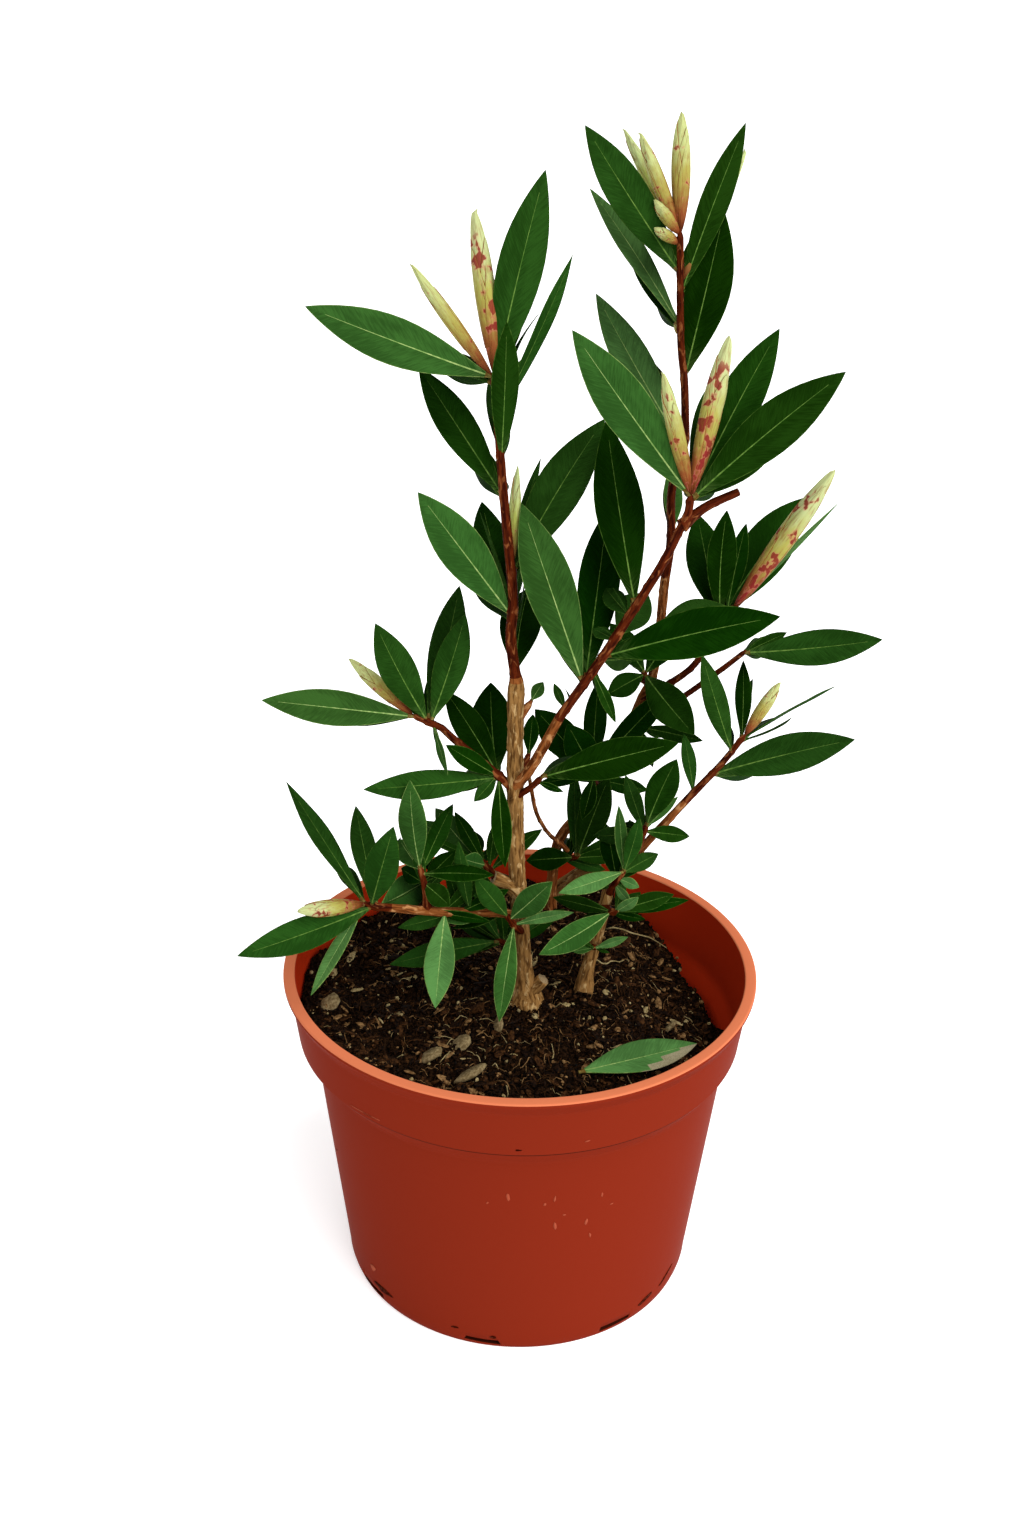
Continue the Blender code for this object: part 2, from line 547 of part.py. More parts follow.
def boolean(piece, operation, other, solver):
    """The mesh of a piece joined with, or cut by, an object or a collection."""
    modifier = piece.modifiers.new("boolean", "BOOLEAN")
    modifier.operation = operation
    modifier.solver = solver
    if isinstance(other, bpy.types.Collection):
        modifier.operand_type = "COLLECTION"
        modifier.collection = other
    else:
        modifier.object = other
    mesh = evaluated_mesh(piece)
    piece.modifiers.remove(modifier)
    return mesh


def main_body(mesh):
    """Keep the largest connected body, drop scraps and sealed hollows, and say if it is closed."""
    form = bmesh.new()
    form.from_mesh(mesh)
    left = set(form.verts)
    bodies = []
    while left:
        group = {left.pop()}
        edge = list(group)
        while edge:
            near = [link.other_vert(vert) for vert in edge for link in vert.link_edges]
            edge = list(left.intersection(near))
            left.difference_update(edge)
            group.update(edge)
        bodies.append(group)
    bodies.sort(key=len)
    for group in bodies[:-1]:
        bmesh.ops.delete(form, geom=list(group), context="VERTS")
    closed = all(link.is_manifold for link in form.edges)
    form.to_mesh(mesh)
    form.free()
    return closed


def union(stem, forms):
    """Fuse leaves and buds on their stem with one Boolean on a collection."""
    heap = bpy.data.collections.new("heap")
    bpy.context.scene.collection.children.link(heap)
    for k, form in enumerate(forms):
        add_object(f"{stem.name}_{k}", welded(mesh_of("leaf_form", form)), heap)
    mesh = boolean(stem, "UNION", heap, "EXACT")
    if not main_body(mesh):
        mesh = boolean(stem, "UNION", heap, "MANIFOLD")
        main_body(mesh)
    for piece in list(heap.objects):
        bpy.data.objects.remove(piece)
    bpy.data.collections.remove(heap)
    bpy.data.objects.remove(stem)
    return mesh


def cut_foot(piece, parent, bench):
    """Cut a limb's foot to the shape of what carries it, a gap clear."""
    cutter = tube("foot_cutter", parent, bench, grow=GAP)
    mesh = boolean(piece, "DIFFERENCE", cutter, "EXACT")
    if not main_body(mesh):
        mesh = boolean(piece, "DIFFERENCE", cutter, "MANIFOLD")
        main_body(mesh)
    bpy.data.objects.remove(cutter)
    piece.data = mesh
    return piece


def inner_radius(height):
    """Radius of the pot's inside at a height."""
    steps = (HEEL, SHOULDER, COLLAR_FOOT, COLLAR_TOP)
    for (r0, z0), (r1, z1) in zip(steps, steps[1:]):
        if height <= z1:
            return r0 + (r1 - r0) * (height - z0) / (z1 - z0) - WALL
    return COLLAR_TOP[0] - WALL


def pot_profile():
    """Half outline of the pot: down the outside, over the base and up the inside."""
    inside = [(r - WALL, z) for r, z in (HEEL, SHOULDER, COLLAR_FOOT, COLLAR_TOP)]
    inside[0] = (inner_radius(FLOOR), FLOOR)
    outside = [(COLLAR_TOP[0] - WALL + LIP_EASE, POT_HEIGHT), (RIM_RADIUS - LIP_EASE, POT_HEIGHT),
               (RIM_RADIUS, POT_HEIGHT - LIP_EASE), (RIM_RADIUS, POT_HEIGHT - LIP_DEPTH),
               COLLAR_TOP, COLLAR_FOOT, SHOULDER, HEEL, (BASE_RADIUS, 0.0)]
    rim_inside = (COLLAR_TOP[0] - WALL, POT_HEIGHT - LIP_EASE)
    return [(0.0, FLOOR)] + inside + [rim_inside] + outside + [(0.0, 0.0)]


def turned(name, profile, steps):
    """A closed mesh turned from a half outline with a Screw modifier."""
    mesh = bpy.data.meshes.new(name)
    ends = [(k, k + 1) for k in range(len(profile) - 1)]
    mesh.from_pydata([(r, 0, z) for r, z in profile], ends, [])
    piece = bpy.data.objects.new(name, mesh)
    screw = piece.modifiers.new("turn", "SCREW")
    screw.steps = steps
    screw.render_steps = steps
    screw.use_merge_vertices = True
    screw.merge_threshold = 0.01 * MM
    return piece


def smooth_step(value):
    value = max(0.0, min(1.0, value))
    return value * value * (3 - 2 * value)


def swell(place):
    """A point of the pot or the soil, moved out where the collar bulges on the left."""
    reach = max(MM, math.hypot(place.x, place.y))
    share = smooth_step((place.z - SHOULDER[1]) / SWELL_RISE) * max(0.0, -place.x / reach) ** 2
    return place - SIDE * (SWELL * share)


def make_pot(parts, cutters):
    """The pot, with drain slots cut through its heel all round."""
    pot = turned("pot", pot_profile(), POT_STEPS)
    parts.objects.link(pot)
    mesh = welded(evaluated_mesh(pot))
    bpy.data.objects.remove(pot)
    for vert in mesh.vertices:
        vert.co = swell(vert.co)
    pot = add_object("pot", mesh, parts, "pot")
    slots = bpy.data.collections.new("drain_slots")
    cutters.children.link(slots)
    for k in range(DRAINS):
        turn = DRAIN_TURN + 2 * math.pi * k / DRAINS
        bpy.ops.mesh.primitive_cube_add(size=1)
        slot = bpy.context.object
        slot.name = f"drain_slot_{k}"
        for owner in slot.users_collection:
            owner.objects.unlink(slot)
        slots.objects.link(slot)
        slot.scale = (DRAIN_WIDTH, 12 * MM, 2 * DRAIN_HEIGHT)
        slot.rotation_euler = (0, 0, turn)
        reach = HEEL[0] + 2 * MM
        slot.location = (reach * math.sin(turn), -reach * math.cos(turn), 0)
        slot.hide_render = True
        slot.display_type = "WIRE"
    cut = pot.modifiers.new("drain_slots", "BOOLEAN")
    cut.operation = "DIFFERENCE"
    cut.operand_type = "COLLECTION"
    cut.collection = slots
    cut.solver = "EXACT"


def soil_feet():
    """Where the stems stand, in metres."""
    return [smooth_route(limb.route) for limb in LIMBS if limb.on == "soil"]


def soil_height(x, y):
    """Top of the soil: lumpy, sunk on the right, flat just under each stem."""
    sink = SOIL_SINK * smooth_step((x - SINK_START) / (SINK_END - SINK_START))
    lump = math.sin(x * 210 + 1.3) * math.cos(y * 170 + 0.4) + 0.6 * math.sin(x * 95 - y * 240)
    for route in soil_feet():
        foot = min(route, key=lambda p: abs(p.z - SOIL_LEVEL))
        lump *= smooth_step((math.hypot(x - foot.x, y - foot.y) - 16 * MM) / (10 * MM))
    return SOIL_LEVEL - GAP - sink + SOIL_LUMP * (lump - 0.6 * abs(lump))


def make_soil(parts):
    """The plug of soil, a gap clear of the pot's wall and floor."""
    turns = [2 * math.pi * k / SOIL_SEGMENTS for k in range(SOIL_SEGMENTS)]
    floor = FLOOR + GAP
    rings = []
    for height in (floor, SHOULDER[1]):
        reach = (inner_radius(height) - GAP) * math.cos(math.pi / POT_STEPS)
        rings.append([Vector((reach * math.cos(t), reach * math.sin(t), height)) for t in turns])
    edge = []
    for t in turns:
        wide = inner_radius(SOIL_LEVEL)
        height = soil_height(wide * math.cos(t), wide * math.sin(t))
        reach = (inner_radius(height) - GAP) * math.cos(math.pi / POT_STEPS)
        edge.append(swell(Vector((reach * math.cos(t), reach * math.sin(t), height))))
    rings.append(edge)
    for share in reversed(SOIL_RINGS):
        flat = [Vector((p.x * share, p.y * share, 0)) for p in edge]
        rings.append([Vector((p.x, p.y, soil_height(p.x, p.y))) for p in flat])
    form = loft(rings, first=Vector((0, 0, floor)), last=Vector((0, 0, soil_height(0, 0))))
    add_object("soil", welded(mesh_of("soil", form)), parts, "soil")
    return form


def fall_height(form, ground):
    """How far a form can sink before it meets the ground, felt along the edges of its faces."""
    points, faces = form
    under = BVHTree.FromPolygons(*ground)
    falls = []
    for face in faces:
        for a, b in zip(face, face[1:] + face[:1]):
            for step in range(FALL_STEPS):
                place = points[a].lerp(points[b], step / FALL_STEPS)
                falls.append(under.ray_cast(place, Vector((0, 0, -1)))[3])
    return min(fall for fall in falls if fall is not None)


def make_fallen_leaf(parts, crown, ground):
    """A dropped leaf lying on the soil, its face tilted a little to the front."""
    (x0, y0), (x1, y1), width = FALLEN_LEAF
    line = Vector((x1 - x0, y1 - y0, 0)) * MM
    places = [Vector((x0, y0, 0)) * MM + line * (k / 8) for k in range(9)]
    height = max(soil_height(p.x, p.y) for p in places) + FALLEN_LIFT
    root = Vector((x0 * MM, y0 * MM, height))
    direction = line.normalized()
    face = blade_axes(direction, 0)[0]
    up = Vector((0, 0, 1))
    lie = math.degrees(math.atan2(direction.dot(face.cross(up)), face.dot(up))) - FALLEN_TILT
    form = blade(root, direction, line.length, width * MM, lie, 0.0)
    root.z -= fall_height(form, ground) - 2 * GAP
    form = blade(root, direction, line.length, width * MM, lie, 0.0)
    add_object("fallen_leaf", welded(mesh_of("fallen_leaf", form)), parts, "leaf")
    crown.add("fallen_leaf", form, False)


def mesh_form(mesh):
    return [v.co.copy() for v in mesh.vertices], [tuple(f.vertices) for f in mesh.polygons]


def build():
    clear_scene()
    parts = new_collection("potted_bottlebrush")
    cutters = new_collection("cutters")
    bench = new_collection("bench")
    crown = Crown()
    stems = {stem.name: stem for stem in LIMBS + MASSES}

    make_pot(parts, cutters)
    pot_form = mesh_form(bpy.data.objects["pot"].data)
    crown.add("pot", pot_form, False)
    ground = make_soil(parts)
    crown.add("soil", ground, False)
    make_fallen_leaf(parts, crown, ground)

    tubes = {}
    for name, stem in stems.items():
        tubes[name] = tube(name + "_rail", stem, bench)
        crown.add(name, mesh_form(tubes[name].data), False)

    for limb in LIMBS:
        piece = tubes[limb.name]
        if limb.on == "soil":
            level_cut(piece.data, SOIL_LEVEL)
            main_body(piece.data)
        else:
            cut_foot(piece, stems[limb.on], bench)
        colour = "bark" if limb.name in TAN_LIMBS else "red_bark"
        add_object(limb.name, piece.data, parts, colour)
        bpy.data.objects.remove(piece)

    buds = {mass.name: mass_buds(crown, mass) for mass in MASSES}
    seed = random.Random(7)
    shown = {mass.name: shown_leaves(crown, mass, seed) for mass in MASSES}
    for mass in MASSES:
        forms = buds[mass.name] + shown[mass.name] + filling_leaves(crown, mass, seed)
        stem = cut_foot(tubes[mass.name], stems[mass.on], bench)
        add_object(mass.name, union(stem, forms), parts, "leaf")
        print(mass.name, len(shown[mass.name]), "of", len(mass.leaves), len(forms))
    bpy.data.collections.remove(bench)


build()
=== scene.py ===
"""Looks of the potted bottlebrush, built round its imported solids.

Metres, +Z up, in the part's own frame. Routes and leaf sizes in the tables are in millimetres,
angles in degrees. The stems and leaves follow the same rule as the solids, with finer forms.
"""
import math
import random
from collections import namedtuple

import bmesh
import bpy
import numpy as np
from mathutils import Matrix, Quaternion, Vector, noise
from mathutils.bvhtree import BVHTree

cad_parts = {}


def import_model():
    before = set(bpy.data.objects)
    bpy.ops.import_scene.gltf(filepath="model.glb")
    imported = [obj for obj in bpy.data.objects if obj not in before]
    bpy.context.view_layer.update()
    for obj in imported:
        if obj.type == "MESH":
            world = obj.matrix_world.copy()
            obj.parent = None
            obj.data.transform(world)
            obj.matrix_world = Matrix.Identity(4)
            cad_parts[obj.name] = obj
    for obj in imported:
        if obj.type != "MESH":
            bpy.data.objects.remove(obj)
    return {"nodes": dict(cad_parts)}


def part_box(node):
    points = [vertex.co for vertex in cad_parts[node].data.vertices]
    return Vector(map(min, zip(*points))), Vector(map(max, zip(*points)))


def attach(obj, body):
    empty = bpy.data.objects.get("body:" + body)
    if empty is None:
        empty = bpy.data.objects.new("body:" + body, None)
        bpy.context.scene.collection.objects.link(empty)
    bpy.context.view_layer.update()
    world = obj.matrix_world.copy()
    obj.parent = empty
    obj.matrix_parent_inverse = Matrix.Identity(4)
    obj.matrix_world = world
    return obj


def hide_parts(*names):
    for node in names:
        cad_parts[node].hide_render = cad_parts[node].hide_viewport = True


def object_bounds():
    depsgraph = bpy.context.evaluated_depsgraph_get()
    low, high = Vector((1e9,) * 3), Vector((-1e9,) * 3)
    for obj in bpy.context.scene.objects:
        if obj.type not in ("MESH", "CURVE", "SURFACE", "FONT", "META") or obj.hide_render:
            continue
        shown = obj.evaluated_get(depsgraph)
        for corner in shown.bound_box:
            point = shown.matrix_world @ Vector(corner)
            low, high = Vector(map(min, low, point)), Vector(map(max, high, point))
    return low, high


MM = 0.001
GAP = 0.3 * MM                      # clearance between neighbouring solids
WELD = 0.01 * MM                    # points closer than this are one

# Camera: where it stands, its pitch, roll and lens
EYE = Vector((-4.6, -607.7, 513.9)) * MM
CAMERA_PITCH = math.radians(27.18)
CAMERA_ROLL = math.radians(0.85)
CAMERA_LENS = 46.875
SENSOR = 36

# Pot, from the rim down
RIM_RADIUS = 84 * MM
POT_HEIGHT = 122.9 * MM
LIP_DEPTH = 2.0 * MM
LIP_EASE = 0.6 * MM
COLLAR_TOP = (81.7 * MM, 117.3 * MM)        # radius, height
COLLAR_FOOT = (79.3 * MM, 99.0 * MM)
SHOULDER = (74.6 * MM, 92.5 * MM)
HEEL = (64.2 * MM, 3.8 * MM)
BASE_RADIUS = 62.8 * MM
WALL = 1.8 * MM
FLOOR = 2.6 * MM
FLOOR_MIDDLE = BASE_RADIUS - 8 * MM         # radius of the innermost ring of the floor
LIP_FOOT = POT_HEIGHT - 1.2 * MM            # height inside at which the lip's round begins
COLLAR_EASE = 0.2 * MM
GROOVE = (0.6 * MM, 0.8 * MM)               # depth and height of the step under the collar, whose dark line is painted shade
HEEL_EASE = (0.05 * MM, 1.4 * MM)           # out and up from the heel, where the wall starts to turn
HEEL_TURN = (0.5 * MM, 1.8 * MM)            # in and down from the heel
# The foot's last points: out from the base's radius, and up
BASE_STEPS = ((0.3 * MM, 0.4 * MM), (0, 0), (-3 * MM, 0), (-3.6 * MM, 0.7 * MM))
POT_SEGMENTS = 256
# Painted light on the lip and the inside; painted shade in the line under the collar and on the drain slots'
# walls.
POT_FINISHES = ["pot_clay", "pot_lip", "pot_inside", "pot_groove", "nick"]
SWELL = 1.4 * MM                    # bulge of the collar and rim on the left
SWELL_RISE = 8 * MM
DRAINS = 8
DRAIN_WIDTH = 13 * MM
DRAIN_HEIGHT = 4.2 * MM
DRAIN_TURN = math.radians(-11)
DRAIN_SILL = 1.8 * MM               # left standing below each slot
DRAIN_RADIUS = HEEL[0] + 2 * MM
DRAIN_CUT = 12 * MM                 # depth of the cut through the heel

# Soil, level round the stems, sunk and shrunk from the wall along the right side
SOIL_LEVEL = 112.0 * MM
SOIL_SINK = 15 * MM
SINK_START = 30 * MM
SINK_END = 74 * MM
SOIL_LUMP = 1.3 * MM
SOIL_SEGMENTS = 400
SOIL_RINGS = 130
SOIL_EDGE = 0.6 * MM                # between the soil and the pot's wall
WALL_GAP = 5.5 * MM                 # the same where it has shrunk most
WALL_GAP_TURN = 20
WALL_GAP_SPREAD = 26
SOIL_BEND = SHOULDER[1] - 6 * MM    # height of the middle ring of its side
EDGE_BUMP = 0.8 * MM
EDGE_DROP = 2.2 * MM                # from the top of the soil to its edge
STEM_ROOM = 16 * MM                 # radius round each stem on which the soil is flat
STEM_EASE = 10 * MM                 # stretch beyond it on which the lumps come up

# The front view looks down by this angle; leaves are turned as seen from there
VIEW_TILT = math.radians(27.4)
SIDE = Vector((1, 0, 0))
RISE = Vector((0, math.sin(VIEW_TILT), math.cos(VIEW_TILT)))
NEAR = Vector((0, -math.cos(VIEW_TILT), math.sin(VIEW_TILT)))

# Leaf and bud forms of the solids, which decide where each one has room
LEAF_STATIONS = (0.0, 0.2, 0.5, 0.8)
BLADE_SKEW = 1.15                   # sets the widest part of a blade a little past its middle
BLADE_FULLNESS = 0.9
END_ON = 0.94                       # cosine from which a leaf points at the viewer
LEAF_THICKNESS = 0.8 * MM
PETIOLE = 0.8 * MM
SHEATH = 0.2
BUD_SIDES = 7
BUD_PROFILE = ((0.0, 0.26), (0.16, 0.62), (0.42, 1.0), (0.7, 0.74), (0.9, 0.28))
SAMPLES = 3
SHOOT_RESOLUTION = 0
BOUGH_RESOLUTION = 1
TRUNK_RESOLUTION = 2
FLARE_HEIGHT = 14 * MM

# Leaves on the far side of each stem, each set by rule behind one that the front view shows
FILL_SHIFT = (-0.02, 0.02)
FILL_REACH = (0.12, 0.97)           # part of the shoot that they spring from
FILL_SWING = (-5, 5)
FILL_LEAN = (-70, -42)
FILL_COVER = 0.86
FILL_LENGTH = (0.72, 0.98)
FILL_WIDTH = 0.25
FILL_TURN = (-40, 40)
BOW = (-0.03, 0.05)
NUDGES = (0, 7, -7, 14, -14, 21, -21, 28, -28, 36, -36)     # turns of its lean that a leaf tries
LEAN_LIMITS = (-80, 70)
STRETCH_LIMIT = 1.12

# Fine leaves
BLADE_STATIONS = 22
BLADE_THICKNESS = 0.34 * MM
STALK = 0.5 * MM                    # half width of a leaf's stalk
STALK_SHARE = 0.05
STALK_EASE = 0.08                   # share of the length over which the stalk widens into the blade
BLADE_COLUMNS = (0.3, 0.62)         # of the way from the midrib to the margin
RIB = 0.23 * MM                     # half width of the midrib at the stalk
RIB_LIMIT = 0.28                    # share of the half width that the midrib may take
RIB_RISE = 0.14 * MM
RIB_FULL = 13 * MM                  # leaf width from which the midrib is full
RIB_END = 0.86
MARGIN = 0.22 * MM
MARGIN_LIMIT = 0.2
FOLD = (0.10, 0.28)                 # rise of each half of a blade, as a share of its half width
SWEEP = (-0.02, 0.02)               # sideways curve of a blade, as a share of its length
TWIST = (-12, 12)
WAVE = (0.0, 0.08)

# Fine stems
RING_STEP = 0.6 * MM
STEM_SIDES = 20
THICK_STEM = 2.5 * MM               # a stem of this radius has twice the sides
EASE_STEPS = 4                      # steps on each side over which a radius is evened out
SCAR_STEP = 9 * MM                  # between the leaf scars of a bare limb
SCAR_PLACE = (0.2, 0.8)             # where in its step each scar may lie
SCAR_WIDTH = 0.7 * MM
SCAR_RISE = 0.22 * MM
COLLAR_LENGTH = 3.0 * MM            # of the swollen foot of a branch
COLLAR_SWELL = 0.45
SHOOT_TAPER = 3 * MM                # length over which a shoot narrows to its tip
CUT_BEVEL = 0.5 * MM                # the same at a cut end, which narrows a little
CUT_SIZE = 0.93

Limb = namedtuple("Limb", "name on route foot tip flare", defaults=(0.0,))
Mass = namedtuple("Mass", "name on route foot tip fill leaves buds flare", defaults=((), 0.0))

# Bare limbs: what each stands on or springs from, its route, its radii at foot and tip
LIMBS = (
    Limb("trunk", "soil",
         ((1.2, -7, 104), (1.4, -7, 116), (-1, -8, 147), (-2.6, -9, 171), (-3.5, -10, 203),
          (-3.6, -10, 239)), 3.2, 2.7, 3.8),
    Limb("foot_stub", "trunk", ((2, -7, 116), (5, -8, 118.5), (7.6, -8.5, 122)), 2.7, 2.3),
    Limb("left_stub", "trunk", ((-2, -9, 159), (-6, -9.7, 162), (-10.5, -10.5, 164.5)), 2.6, 2.5),
    Limb("fork_stub", "trunk", ((-3.5, -10, 225), (-1, -9.5, 228), (0.8, -9, 230.4)), 1.5, 1.3),
    Limb("front_bough", "trunk", ((-3.5, -10, 201), (1.5, -14.5, 209), (11, -19, 231)), 1.9, 1.6),
    Limb("front_upper_bough", "front_middle_leaves",
         ((35, -25, 275), (42, -26, 289), (48.2, -27, 304.5)), 1.5, 1.3),
    Limb("front_side_twig", "front_upper_bough",
         ((46.4, -26.7, 300), (54, -23, 305), (64, -20, 309)), 1.6, 1.3),
    Limb("left_bough", "left_fan_leaves",
         ((-13.5, -10, 208), (-23.6, -10, 217), (-28, -10, 221.5)), 1.4, 1.2),
    Limb("low_left_bough", "low_left_inner_leaves",
         ((-35, -19.5, 156.5), (-45.5, -21.5, 158.5)), 1.6, 1.4),
    Limb("right_stem", "soil", ((22, 0, 104), (23, 0, 117), (25, 0, 128), (31, 3, 155)), 2.6, 2.1, 1.2),
    Limb("right_bough", "right_stem", ((31, 3, 155), (36, 4, 161), (42.6, 5, 170), (56, 6, 187)), 1.7, 1.35),
    Limb("back_stem", "soil",
         ((10.5, 58, 104), (11, 57, 118), (13, 55, 141), (19, 52, 154), (31.6, 48, 176), (41, 44, 206),
          (45.5, 42, 221), (47.5, 38, 258)), 2.1, 1.6, 1.0),
    Limb("pruned_stub", "soil",
         ((12.5, 65, 104), (14, 64, 115), (19.5, 60.5, 123), (28, 56, 132.5)), 3.0, 2.9),
    Limb("upper_right_bough", "back_stem", ((42, 43.5, 208), (57, 36, 223), (64, 31, 237)), 1.3, 1.1),
    Limb("side_bough", "back_stem", ((39.5, 44.5, 202), (53, 38, 210), (69, 32, 226)), 1.2, 1.0),
    Limb("arch_twig", "back_stem",
         ((13.6, 54.5, 143), (16.5, 44, 145), (11.7, 34, 155), (8, 24, 164.5), (4.2, 14, 177.3),
          (2.2, 4, 191.8), (1.4, -4, 200)), 0.8, 0.7),
)

